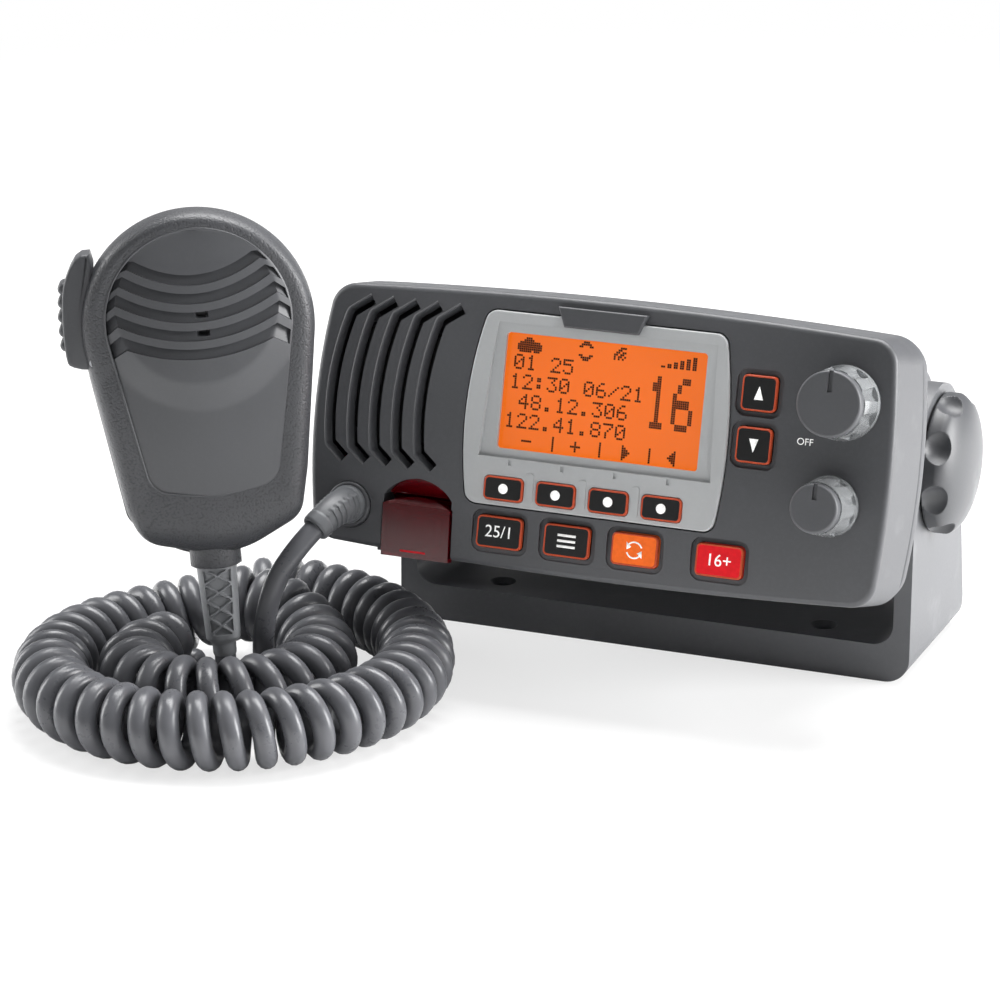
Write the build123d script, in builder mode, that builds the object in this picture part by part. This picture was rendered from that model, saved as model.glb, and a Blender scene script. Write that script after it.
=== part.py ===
from build123d import *
from math import cos, sin, radians, degrees, pi, tan, sqrt, exp, atan2
import os

# VHF marine radio: a tilting head in a gimbal bracket, a fist microphone and its curly cord.
# Millimetres, +Z up, the face looks towards -Y. The origin is the middle of the bracket's four
# screw holes, on the surface that the bracket stands on.

# ---------------------------------------------------------------- driving dimensions: bracket
BRACKET_HALF_WIDTH = 76.3
BRACKET_DEPTH = 54.0
BASE_THICKNESS = 10.5
ARM_THICKNESS = 4.9
ARM_TOP_RADIUS = 22.0
ARM_REAR_FOOT_HEIGHT = 9.0
BASE_CORNER_RADIUS = 7.0
BASE_INNER_RADIUS = 6.0
PIVOT_FORWARD = 4.5
PIVOT_HEIGHT = 58.0
SCREW_SPACING_X = 97.0
SCREW_SPACING_Y = 34.0
SCREW_HOLE_RADIUS = 2.5
SCREW_SINK_RADIUS = 3.8
POCKET_DEPTH = 6.0
POCKET_RIB = 3.0
POCKET_PITCH = (22.0, 15.5)
POCKET_CORNER = 2.0

# ---------------------------------------------------------------- driving dimensions: gimbal
KNOB_RADIUS = 19.2
KNOB_THICKNESS = 9.5
KNOB_RIM = 3.2
KNOB_SCOOPS = 8
SCOOP_RADIUS = 6.2
SCOOP_LEVEL = 0.62
SCOOP_OVERLAP = 0.45
KNOB_CHAMFER = 0.8
STUD_RADIUS = 3.0
STUD_RUNNING_CLEARANCE = 0.05
STUD_IN_KNOB = 5.0
STUD_TIP_GAP = 1.0
STUD_CHAMFER = 0.6
ARM_HOLE_CLEARANCE = 0.4
WASHER_THICKNESS = 1.6
WASHER_RADIUS = 11.0
INSERT_RADIUS = 5.0
INSERT_LENGTH = 9.0
INSERT_BOSS_WALL = 3.0
INSERT_BOSS_FLOOR = 2.0
SIDE_GAP = 0.3

# ---------------------------------------------------------------- driving dimensions: head
TILT = 14.3
FACE_N = 67.0
CROWN_RISE = 2.4
CROWN_HALF_SPAN = 37.0
BEZEL_DEPTH = 18.0
BEZEL_WALL = 3.0
BEZEL_HALF_WIDTH = 81.4
BEZEL_HALF_HEIGHT = 35.6
BEZEL_SIDE_BOW = 2.8
BEZEL_END_BOW = 2.4
BEZEL_FRONT_INSET = 2.0
BEZEL_CORNER = 8.0
BEZEL_EDGE_FILLET = 1.6
BEZEL_CENTRE_V = -1.0
BEZEL_TOP_INSET = 0.7
GASKET_THICKNESS = 0.9
GASKET_INSET = 1.2
FLANGE_THICKNESS = 4.2
FLANGE_CHAMFER = 1.4
CHASSIS_HALF_WIDTH = 68.4
CHASSIS_TOP_V = 29.0
CHASSIS_BOTTOM_V = -31.0
CHASSIS_REAR_N = -66.0
CHASSIS_WALL = 3.0
CHASSIS_CORNER = 5.0
FIN_DEPTH = 12.0
FIN_PITCH = 7.0
FIN_SLOT = 4.0
FIN_COUNT = 17
REAR_BLOCK = 18.0
CASE_SCREW_OUTSET = 7.0
CASE_SCREW_INSET = 5.0
CASE_SCREW_RADIUS = 1.6
CASE_SCREW_HEAD_RADIUS = 3.0
CASE_SCREW_HEAD_HEIGHT = 2.2
CASE_SCREW_KEY_RADIUS = 1.4
POST_SPACING = (104.0, 66.0)
POST_RADIUS = 3.5
POST_HEIGHT = 11.0
MAIN_BOARD_LIFT = 13.0
MAIN_BOARD_SIZE = (116.0, 78.0)
MAIN_BLOCKS = [(-30.0, 14.0), (24.0, 20.0), (30.0, -16.0)]
MAIN_BLOCK_SIZE = (26.0, 18.0)
MAIN_BLOCK_HEIGHT = 7.0
MAIN_CAPACITOR_AT = (-26.0, -20.0)
MAIN_CAPACITOR_RADIUS = 9.0
PORT_U = 44.0
PORT_PAD_RADIUS = 12.5
PORT_BORE_RADIUS = 5.0
PORT_BORE_DEPTH = 10.0
ANTENNA_FLANGE = 20.0
ANTENNA_FLANGE_THICKNESS = 2.0
ANTENNA_FLANGE_CORNER = 2.0
ANTENNA_THREAD_RADIUS = 7.9
ANTENNA_THREAD_LENGTH = 13.0
ANTENNA_BORE_RADIUS = 5.6
POWER_GLAND_RADIUS = 7.5
DATA_GLAND_RADIUS = 6.5
GLAND_BORE = 1.9
GLAND_NUT_WALL = 2.5
GLAND_NUT_HEIGHT = 4.0
GLAND_NOSE = 7.0
GLAND_TAPER = 6.0

# ---------------------------------------------------------------- driving dimensions: face
LCD_CENTRE = (0.7, 10.0)
LCD_WIDTH = 57.2
LCD_HEIGHT = 31.4
TRIM_TOP_V = 31.2
TRIM_BOTTOM_V = -21.2
TRIM_TOP_HALF = 33.8
TRIM_MIDDLE_HALF = 37.2
TRIM_BOTTOM_HALF = 35.2
TRIM_MIDDLE_V = -4.0
TRIM_CORNER = 3.4
TRIM_RAISE = 0.6
TRIM_LEDGE_N = 65.2
TRIM_GAP = 0.4
TRIM_FILLET = 0.5
DISH_DEPTH = 0.9
DISH_MARGIN = (9.0, 5.0)
DISH_SLOPE = 87
PANE_MARGIN = 1.6
PANE_THICKNESS = 1.2
PANE_GAP = 0.2
PANE_LIFT = 0.9
LCD_OPENING_MARGIN = 3.4
LCD_CORNER = 1.0
TRIM_NOTCH_SIZE = (0.9, 1.5)
TRIM_NOTCH_V = -9.3
TRIM_NOTCH_SHIFT = 1.2
TRIM_NOTCH_DEPTH = 0.4
TRIM_RIB_SIZE = (1.9, 8.0)
TRIM_RIB_V = -15.6
TRIM_RIB_RAISE = 0.25
TAB_AT = (-0.9, 31.2)
TAB_WIDTH = 25.4
TAB_HEIGHT = 5.4
TAB_SINK = 1.4
TAB_STAND = 1.5
TAB_SLOPE = 68
TAB_FIT = 0.05
SOFT_KEY_SIZE = (11.2, 6.4)
SOFT_KEY_V = -16.5
SOFT_KEY_FIRST_U = -24.3
SOFT_KEY_PITCH = 15.05
LOW_KEY_SIZE = (13.0, 8.6)
LOW_KEY_V = -28.5
LOW_KEYS = {"power_level_key": -24.9, "menu_key": -5.4, "replay_key": 14.0, "channel_16_key": 37.8}
CHANNEL_KEY_SIZE = (9.6, 9.4)
CHANNEL_KEYS = {"channel_up_key": (44.6, 16.8), "channel_down_key": (44.6, 3.1)}
KEY_CORNER = 1.3
KEY_GAP = 0.25
KEY_TRAVEL = 0.8
KEY_STAND = 0.5
KEY_FOOT_N = 62.7
MOAT_WIDTH = 1.6
MOAT_DEPTH = 1.0
BOARD_N = 58.0
BOARD_THICKNESS = 1.6
BOARD_AT = (19.8, -2.0)
BOARD_SIZE = (110.0, 57.0)
SPACERS = [(-33.2, 24.2), (56.5, 24.2), (72.5, -27.5), (56.5, 3.0)]
SPACER_RADIUS = 1.8
MEMBRANE_THICKNESS = 1.2
LOW_MEMBRANE_AT = (5.5, -23.3)
LOW_MEMBRANE_SIZE = (79.0, 21.0)
SIDE_MEMBRANE_AT = (45.0, 6.0)
SIDE_MEMBRANE_SIZE = (13.0, 40.0)
MEMBRANE_CORNER = 2.0
MEMBRANE_FRAME_INSET = 1.0
KEY_FILLET = 0.5
GRILLE_SLOTS = 5
GRILLE_PITCH = 6.6
GRILLE_SLOT_WIDTH = 2.9
GRILLE_FIRST = [(-67.9, 30.4), (-73.6, 26.4), (-76.8, 8.0), (-76.2, -9.6), (-71.8, -13.4)]
VOLUME_AT = (67.7, 16.8)
SQUELCH_AT = (66.6, -10.4)
VOLUME_CAP_RADIUS = 8.7
SQUELCH_CAP_RADIUS = 6.5
VOLUME_SKIRT_RADIUS = 10.0
SQUELCH_SKIRT_RADIUS = 8.1
KNOB_HEIGHT = 14.0
KNOB_LOBES = 9
SHAFT_RADIUS = 3.0
SHAFT_CLEARANCE = 0.05
SHAFT_HOLE_CLEARANCE = 0.9
SHAFT_END_GAP = 0.3
ENCODER_SIZE = 12.5
ENCODER_CORNER = 1.0
ENCODER_BUSH_WALL = 0.8
KNOB_SEAT_GAP = 0.5
CAP_TOP_THICKNESS = 3.0
CAP_STEM_INSET = 1.6
CAP_FILLET = 0.8
SHAFT_SHORT_OF_TOP = 4.0
SKIRT_TOP_GAP = 0.1
INDICATOR_WIDTH = 1.2
INDICATOR_DEPTH = 0.7
INDICATOR_SHARE = 0.7
LOBE_START_ANGLE = 20
LOBE_OUTSET = 0.9
LOBE_SHARE = 0.24
LOBE_FOOT = 1.6
DISTRESS_U = -49.3
DISTRESS_HALF = 10.0
BAND_ARCH = (-21.9, -16.8)
COVER_ARCH = (-24.4, -21.8)
DISTRESS_BOTTOM_V = -38.9
DISTRESS_FLOOR_N = 62.0
DISTRESS_PIN_AT = (-25.2, 65.9)
DISTRESS_BUTTON_V = -31.3
DISTRESS_PIN_RADIUS = 0.8
DISTRESS_PIN_FIT = 0.02
DISTRESS_PIN_OVERHANG = 1.7
DISTRESS_BUTTON_SIZE = (10.0, 8.0)
DISTRESS_BUTTON_CORNER = 1.2
DISTRESS_BUTTON_GAP = 0.3
DISTRESS_BUTTON_SINK = 2.0
DISTRESS_BUTTON_FOOT = 1.1
DISTRESS_BUTTON_HEIGHT = 4.2
DISTRESS_WELL_GAP = 0.4
DISTRESS_BACKING = (25.0, 23.5)
DISTRESS_BACKING_V = -26.2
DISTRESS_BACKING_THICKNESS = 3.5
COVER_BACK_N = 64.6
COVER_RAISE = 0.8
COVER_FIT = 0.1
COVER_WALL = 1.7
COVER_HOLLOW_HEIGHT = 10.4
COVER_HOLLOW_DEPTH = 1.8
SPRING_HALF = 2.6
SPRING_SIDE_GAP = 0.4
SPRING_WIRE = 0.7
SPRING_SLOT = 4.6
COVER_SWEEP = 3.7
BAND_FLOOR_N = 65.2
SOCKET_AT = (-69.5, -26.1)
SOCKET_FLANGE_RADIUS = 6.3
SOCKET_SINK = 1.2
SOCKET_FLANGE_THICKNESS = 2.4
SOCKET_FILLET = 0.6
SOCKET_NECK_INSET = 1.1
SOCKET_NECK_DEPTH = 4.0
ELBOW_REACH = 7.5
ELBOW_END = (-72.9, -92.5, 46.8)
ELBOW_ROOT_RADIUS = 5.1
ELBOW_TIP_RADIUS = 3.9
ELBOW_RING_RADIUS = 4.7
ELBOW_RING_LENGTH = 3.4
ELBOW_RIBS = 6
ELBOW_RIB_FIRST = 0.2
ELBOW_RIB_PITCH = 0.085
ELBOW_RIB_WIDTH = 0.8
ELBOW_RIB_DEPTH = 0.5
SPEAKER_AT = (-59.5, 8.0)
SPEAKER_RADIUS = 17.5
SPEAKER_RING = 2.0
SPEAKER_RING_DEPTH = 3.0
SPEAKER_CONE_DEPTH = 6.0
SPEAKER_MAGNET_RADIUS = 9.6
SPEAKER_MAGNET_DEPTH = 5.0
SPEAKER_MEMBRANE = 0.6
SPEAKER_GAP = 0.1

# ---------------------------------------------------------------- driving dimensions: microphone
MIC_FOOT = (-92.0, -110.0, 14.0)
MIC_AZIMUTH = 26.0
MIC_PITCH = 7.0
MIC_ROLL = 4.2
BOOT_LENGTH = 27.5
BOOT_TOP_RADIUS = 5.3
BOOT_END_RADIUS = 4.55
MIC_TOP_RADIUS = 30.2
MIC_HEIGHT = 93.0
MIC_FOOT_RADIUS = 24.0
MIC_CORNER_RADIUS = 6.0
MIC_CORNER_U = 16.9
MIC_SHELL = 2.4
MIC_DEPTH = 14.5
MIC_SIDE_RADIUS = 85.0
MIC_END_RADIUS = 240.0
PANEL_RAISE = 0.8
PANEL_TOP_INSET = 6.0
PANEL_TOP_LIFT = 2.7
PANEL_FOOT = 20.5
PANEL_FOOT_U = 11.8
PANEL_FOOT_CORNER = 4.5
PANEL_FOOT_BULGE = 8.0
PANEL_FOOT_RADIUS = 14.0
PANEL_UNDERCUT = 1.6
MIC_EDGE_FILLET = 3.4
MIC_BOOT_SEAT = 2.4
MIC_NECK_WALL = 1.6
MIC_NECK_LENGTH = 7.5
MIC_FRONT_SCREW_DEPTH = 6.0
MIC_SCREW_U = 12.5
MIC_SCREW_FOOT = 19.0
MIC_SCREW_TOP = 7.5
MIC_SCREW_POST_WALL = 1.9
MIC_SCREW_HEAD_WALL = 1.3
MIC_SCREW_HEAD_HEIGHT = 1.8
MIC_SCREW_SINK = 4.5
MIC_SCREW_CROSS = (3.6, 0.8)
LOUVRE_TOP = 12.0
LOUVRE_HALF_SPAN = 26.0
LOUVRE_SMILE = 6.2
LOUVRE_FIELD_INSET = 7.4
SOUND_HOLE_LENGTH = 3.2
SOUND_HOLE_WIDTH = 1.4
HANGER_NECK_RADIUS = 4.2
HANGER_NECK_LENGTH = 4.5
HANGER_BUTTON_RADIUS = 7.8
HANGER_BUTTON_THICKNESS = 3.2
HANGER_SEAT_RADIUS = 6.5
HANGER_SEAT_DEPTH = 1.0
LATTICE_CELLS = 4
LATTICE_PITCH = 4.5
LATTICE_FOOT = 5.5
LATTICE_CELL_SIZE = (4.6, 3.4)
LATTICE_DEPTH = 1.2
LOUVRES = 5
LOUVRE_PITCH = 5.0
LOUVRE_WIDTH = 2.6
LOUVRE_DEPTH = 1.5
PTT_LENGTH = 32.5
PTT_REACH = 8.0
PTT_HALF_DEPTH = 6.5
PTT_GAP = 0.3
PTT_PIN_RADIUS = 1.0
PTT_PIN_HALF = 8.4
PTT_PIN_INSET = 3.2
PTT_PIN_LIFT = 3.7
PTT_FOOT = 52.8
PTT_INSET = 7.6
PTT_CORNER = 1.2
PTT_RIBS = 5
PTT_RIB_PITCH = 4.2
PTT_RIB_FIRST = 7.5
PTT_RIB_RADIUS = 0.9
PTT_RIB_END = 1.5
PTT_NOSE_LIFT = 16.5
PTT_NOSE_WIDTH = 4.0
SWITCH_FACE = -17.0
SWITCH_GAP = 1.6
SWITCH_SIZE = (7.0, 9.0)
SWITCH_HEIGHT = 5.0
SWITCH_PLUNGER = (2.0, 3.0)
SWITCH_PLUNGER_HEIGHT = 2.6
SWITCH_PLUNGER_LIFT = 1.2
MIC_BOARD_DEPTH = -4.0
MIC_BOARD_SIZE = (31.0, 52.0)
MIC_BOARD_AT = (0.5, 53.0)
MIC_BOARD_POSTS = [(-9.0, 36.0), (9.0, 36.0), (0.0, 70.0)]
MIC_BOARD_POST_RADIUS = 2.6
CAPSULE_LIFT = 4.5
CAPSULE_RADIUS = 5.0
MIC_SCREW_RADIUS = 1.5

# ---------------------------------------------------------------- driving dimensions: cord
WIRE_RADIUS = 2.9
COIL_RADIUS = 10.7
COIL_CENTRE = (-96.2, -110.9)
COIL_START_ANGLE = 105.0
COIL_START_RADIUS = 63.2
COIL_STEP = 27.3
COIL_INNER_TURN = 1.3
COIL_INNER_STEP = 18.0
COIL_TURNS = 1.88
COIL_POINTS_PER_TURN = 16
HUMP_HEIGHT = 6.6
HUMP_LENGTH = 17.0
HUMP_TURN = 1.03
RADIO_LEAD_ROUTE = [(-81.0, -103.4, 32.5), (-83.2, -105.5, 17.0), (-85.4, -98.5, 3.4),
                    (-92.5, -84.5, 3.1), (-99.6, -70.0, 3.2), (-108.0, -57.5, 5.0)]
MIC_LEAD_END = (-106.2, -104.7, 3.6)

os.makedirs("parts", exist_ok=True)


# ================================================================ frames and shared forms
PIVOT = Vector(0, -PIVOT_FORWARD, PIVOT_HEIGHT)
face_plane = Plane(origin=PIVOT, x_dir=(1, 0, 0), z_dir=(0, -cos(radians(TILT)), sin(radians(TILT))))
side_plane = Plane(origin=PIVOT, x_dir=face_plane.y_dir, z_dir=(1, 0, 0))
cross_plane = Plane(origin=PIVOT, x_dir=(1, 0, 0), z_dir=-face_plane.y_dir)
face_axis = Axis(PIVOT, face_plane.z_dir)
BEZEL_BACK_N = FACE_N - BEZEL_DEPTH
GASKET_BACK_N = BEZEL_BACK_N - GASKET_THICKNESS
CHASSIS_FRONT_N = GASKET_BACK_N
WALL_INNER_N = FACE_N - BEZEL_WALL
CROWN_RADIUS = (CROWN_HALF_SPAN ** 2 + CROWN_RISE ** 2) / (2 * CROWN_RISE)
CROWN_CENTRE_N = FACE_N + CROWN_RISE - CROWN_RADIUS
FAR = 120.0


def crown_at(v):
    """How far in front of the pivot the crowned face lies at the height v."""
    return CROWN_CENTRE_N + sqrt(CROWN_RADIUS ** 2 - v ** 2)


TAB_SEAT_N = crown_at(TAB_AT[1]) + TRIM_RAISE - TAB_SINK
SOFT_KEY_MIDDLE_U = SOFT_KEY_FIRST_U + 1.5 * SOFT_KEY_PITCH


def crown_cylinder(raised=0.0):
    """The wide cylinder along X that gives the face its crown."""
    with BuildPart() as cylinder:
        with BuildSketch(side_plane.offset(-FAR)):
            with Locations((0, CROWN_CENTRE_N)):
                Circle(CROWN_RADIUS + raised)
        extrude(amount=2 * FAR)
    return cylinder.part


def bowed_outline(half_width, half_height, corner):
    """A rounded rectangle whose four sides bow outwards, about the face's middle."""
    top, bottom = BEZEL_CENTRE_V + half_height, BEZEL_CENTRE_V - half_height
    side = half_width + BEZEL_SIDE_BOW
    with BuildSketch() as outline:
        with BuildLine():
            ThreePointArc((-half_width, top), (0, top + BEZEL_END_BOW), (half_width, top))
            ThreePointArc((half_width, top), (side, BEZEL_CENTRE_V), (half_width, bottom))
            ThreePointArc((half_width, bottom), (0, bottom - BEZEL_END_BOW), (-half_width, bottom))
            ThreePointArc((-half_width, bottom), (-side, BEZEL_CENTRE_V), (-half_width, top))
        make_face()
        fillet(outline.vertices(), corner)
    return outline.sketch


def trim_outline(inset=0.0):
    """The barrel-shaped outline of the display trim."""
    top, bottom = TRIM_TOP_V - inset, TRIM_BOTTOM_V + inset
    with BuildSketch() as outline:
        with BuildLine():
            Line((-TRIM_TOP_HALF + inset, top), (TRIM_TOP_HALF - inset, top))
            ThreePointArc((TRIM_TOP_HALF - inset, top), (TRIM_MIDDLE_HALF - inset, TRIM_MIDDLE_V),
                          (TRIM_BOTTOM_HALF - inset, bottom))
            Line((TRIM_BOTTOM_HALF - inset, bottom), (-TRIM_BOTTOM_HALF + inset, bottom))
            ThreePointArc((-TRIM_BOTTOM_HALF + inset, bottom),
                          (-TRIM_MIDDLE_HALF + inset, TRIM_MIDDLE_V), (-TRIM_TOP_HALF + inset, top))
        make_face()
        fillet(outline.vertices(), TRIM_CORNER - min(inset, 0))
    return outline.sketch


def shield_outline(arch, grow=0.0):
    """An arched shield about its own middle line; arch gives its shoulders' and its crown's heights."""
    half = DISTRESS_HALF + grow
    shoulder, crown = arch
    with BuildSketch() as outline:
        with BuildLine():
            ThreePointArc((-half, shoulder), (0, crown + grow), (half, shoulder))
            Polyline((half, shoulder), (half, DISTRESS_BOTTOM_V - 2 * grow),
                     (-half, DISTRESS_BOTTOM_V - 2 * grow), (-half, shoulder))
        make_face()
    return outline.sketch


def keys():
    """Every key's name, centre and size."""
    for index in range(4):
        place = (SOFT_KEY_FIRST_U + index * SOFT_KEY_PITCH, SOFT_KEY_V)
        yield f"soft_key_{index + 1}", place, SOFT_KEY_SIZE
    for name, u in LOW_KEYS.items():
        yield name, (u, LOW_KEY_V), LOW_KEY_SIZE
    for name, place in CHANNEL_KEYS.items():
        yield name, place, CHANNEL_KEY_SIZE


def finish(part, label):
    """Label a piece and write it to its own file."""
    part.label = label
    export_step(part, f"parts/{label}.step")


def tab_outline(grow=0.0):
    """The small bare tab at the top of the display trim."""
    with BuildSketch() as outline:
        with Locations(TAB_AT):
            Trapezoid(TAB_WIDTH + 2 * grow, TAB_HEIGHT + 2 * grow, TAB_SLOPE, TAB_SLOPE, rotation=180)
    return outline.sketch


# ================================================================ bracket
FRONT_Y = -BRACKET_DEPTH / 2
REAR_Y = BRACKET_DEPTH / 2
ARM_INNER = BRACKET_HALF_WIDTH - ARM_THICKNESS
ARM_TOP_Z = PIVOT_HEIGHT + ARM_TOP_RADIUS

with BuildPart() as bracket:
    with BuildSketch(Plane.XZ.offset(-REAR_Y)):
        with BuildLine():
            Polyline((-BRACKET_HALF_WIDTH, ARM_TOP_Z), (-BRACKET_HALF_WIDTH, 0),
                     (BRACKET_HALF_WIDTH, 0), (BRACKET_HALF_WIDTH, ARM_TOP_Z),
                     (ARM_INNER, ARM_TOP_Z), (ARM_INNER, BASE_THICKNESS),
                     (-ARM_INNER, BASE_THICKNESS), (-ARM_INNER, ARM_TOP_Z),
                     (-BRACKET_HALF_WIDTH, ARM_TOP_Z))
        make_face()
    extrude(amount=BRACKET_DEPTH)
    long_edges = bracket.edges().filter_by(Axis.Y)
    fillet(long_edges.group_by(Axis.Z)[0], BASE_CORNER_RADIUS)
    inner_edges = bracket.edges().filter_by(Axis.Y).filter_by_position(
        Axis.Z, BASE_THICKNESS - 0.1, BASE_THICKNESS + 0.1)
    fillet(inner_edges, BASE_INNER_RADIUS)
    # side view of the arms: upright at the front, round at the top, leaning at the rear
    with BuildSketch(Plane.YZ.offset(-BRACKET_HALF_WIDTH)):
        with BuildLine():
            rear_top = (-PIVOT_FORWARD + ARM_TOP_RADIUS, PIVOT_HEIGHT)
            front_top = (-PIVOT_FORWARD - ARM_TOP_RADIUS, PIVOT_HEIGHT)
            ThreePointArc(front_top, (-PIVOT_FORWARD, ARM_TOP_Z), rear_top)
            Polyline(rear_top, (REAR_Y, ARM_REAR_FOOT_HEIGHT), (REAR_Y, 0), (FRONT_Y, 0), front_top)
        make_face()
    extrude(amount=2 * BRACKET_HALF_WIDTH, mode=Mode.INTERSECT)
    # hole for the stud in each arm
    with BuildSketch(Plane.YZ.offset(-BRACKET_HALF_WIDTH)):
        with Locations((-PIVOT_FORWARD, PIVOT_HEIGHT)):
            Circle(STUD_RADIUS + ARM_HOLE_CLEARANCE)
    extrude(amount=2 * BRACKET_HALF_WIDTH, mode=Mode.SUBTRACT)
    # ribbed underside: a grid of pockets between the screw bosses
    with BuildSketch(Plane.XY):
        with GridLocations(*POCKET_PITCH, 5, 3):
            RectangleRounded(POCKET_PITCH[0] - POCKET_RIB, POCKET_PITCH[1] - POCKET_RIB, POCKET_CORNER)
        with GridLocations(SCREW_SPACING_X, SCREW_SPACING_Y, 2, 2):
            Circle(SCREW_HOLE_RADIUS + POCKET_RIB, mode=Mode.SUBTRACT)
    extrude(amount=POCKET_DEPTH, mode=Mode.SUBTRACT)
    with Locations(Plane.XY.offset(BASE_THICKNESS)):
        with GridLocations(SCREW_SPACING_X, SCREW_SPACING_Y, 2, 2):
            CounterSinkHole(SCREW_HOLE_RADIUS, SCREW_SINK_RADIUS, BASE_THICKNESS)
finish(bracket.part, "bracket")

# ================================================================ gimbal knobs, studs, washers
KNOB_BASE_X = BRACKET_HALF_WIDTH + SIDE_GAP
INSERT_FACE_X = CHASSIS_HALF_WIDTH
SCOOP_CENTRE_RADIUS = KNOB_RADIUS + SCOOP_RADIUS * SCOOP_OVERLAP
KNOB_DOME_HEIGHT = KNOB_THICKNESS - KNOB_RIM
KNOB_DOME_RADIUS = (KNOB_RADIUS ** 2 + KNOB_DOME_HEIGHT ** 2) / (2 * KNOB_DOME_HEIGHT)


def gimbal_knob(side, label):
    """One domed hand knob with scooped finger dents round its rim."""
    axis_plane = Plane(origin=PIVOT, x_dir=(0, 0, 1), z_dir=(side, 0, 0))
    with BuildPart() as knob:
        with BuildSketch(axis_plane.offset(KNOB_BASE_X)):
            Circle(KNOB_RADIUS)
        extrude(amount=KNOB_THICKNESS)
        with Locations(axis_plane.offset(KNOB_BASE_X + KNOB_THICKNESS - KNOB_DOME_RADIUS)):
            Sphere(KNOB_DOME_RADIUS, mode=Mode.INTERSECT)
        chamfer(knob.edges().sort_by(Axis(PIVOT, axis_plane.z_dir))[0], KNOB_CHAMFER)
        with Locations(axis_plane.offset(KNOB_BASE_X + KNOB_THICKNESS * SCOOP_LEVEL)):
            with PolarLocations(SCOOP_CENTRE_RADIUS, KNOB_SCOOPS, start_angle=180 / KNOB_SCOOPS):
                Sphere(SCOOP_RADIUS, mode=Mode.SUBTRACT)
        with BuildSketch(axis_plane.offset(KNOB_BASE_X)):
            Circle(STUD_RADIUS)
        extrude(amount=STUD_IN_KNOB, mode=Mode.SUBTRACT)
    finish(knob.part, label)


def gimbal_stud(side, label):
    """The steel stud moulded into a knob; it screws into the case through the arm."""
    axis_plane = Plane(origin=PIVOT, x_dir=(0, 0, 1), z_dir=(side, 0, 0))
    start = INSERT_FACE_X - INSERT_LENGTH + STUD_TIP_GAP
    with BuildPart() as stud:
        with BuildSketch(axis_plane.offset(start)):
            Circle(STUD_RADIUS)
        extrude(amount=KNOB_BASE_X + STUD_IN_KNOB - start)
        chamfer(stud.edges().sort_by(Axis.X)[0 if side > 0 else -1], STUD_CHAMFER)
    finish(stud.part, label)


for side_name, side_sign in (("left", -1), ("right", 1)):
    gimbal_knob(side_sign, f"{side_name}_gimbal_knob")
    gimbal_stud(side_sign, f"{side_name}_gimbal_stud")

with BuildPart() as gimbal_washers:
    for side_sign in (-1, 1):
        washer_plane = Plane(origin=PIVOT, x_dir=(0, 0, 1), z_dir=(side_sign, 0, 0))
        with BuildSketch(washer_plane.offset(CHASSIS_HALF_WIDTH)):
            Circle(WASHER_RADIUS)
            Circle(STUD_RADIUS + ARM_HOLE_CLEARANCE, mode=Mode.SUBTRACT)
        extrude(amount=ARM_INNER - SIDE_GAP - CHASSIS_HALF_WIDTH)
finish(gimbal_washers.part, "gimbal_washers")

with BuildPart() as gimbal_inserts:
    for side_sign in (-1, 1):
        insert_plane = Plane(origin=PIVOT, x_dir=(0, 0, 1), z_dir=(side_sign, 0, 0))
        with BuildSketch(insert_plane.offset(INSERT_FACE_X - INSERT_LENGTH)):
            Circle(INSERT_RADIUS)
            Circle(STUD_RADIUS + STUD_RUNNING_CLEARANCE, mode=Mode.SUBTRACT)
        extrude(amount=INSERT_LENGTH)
finish(gimbal_inserts.part, "gimbal_inserts")

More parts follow.
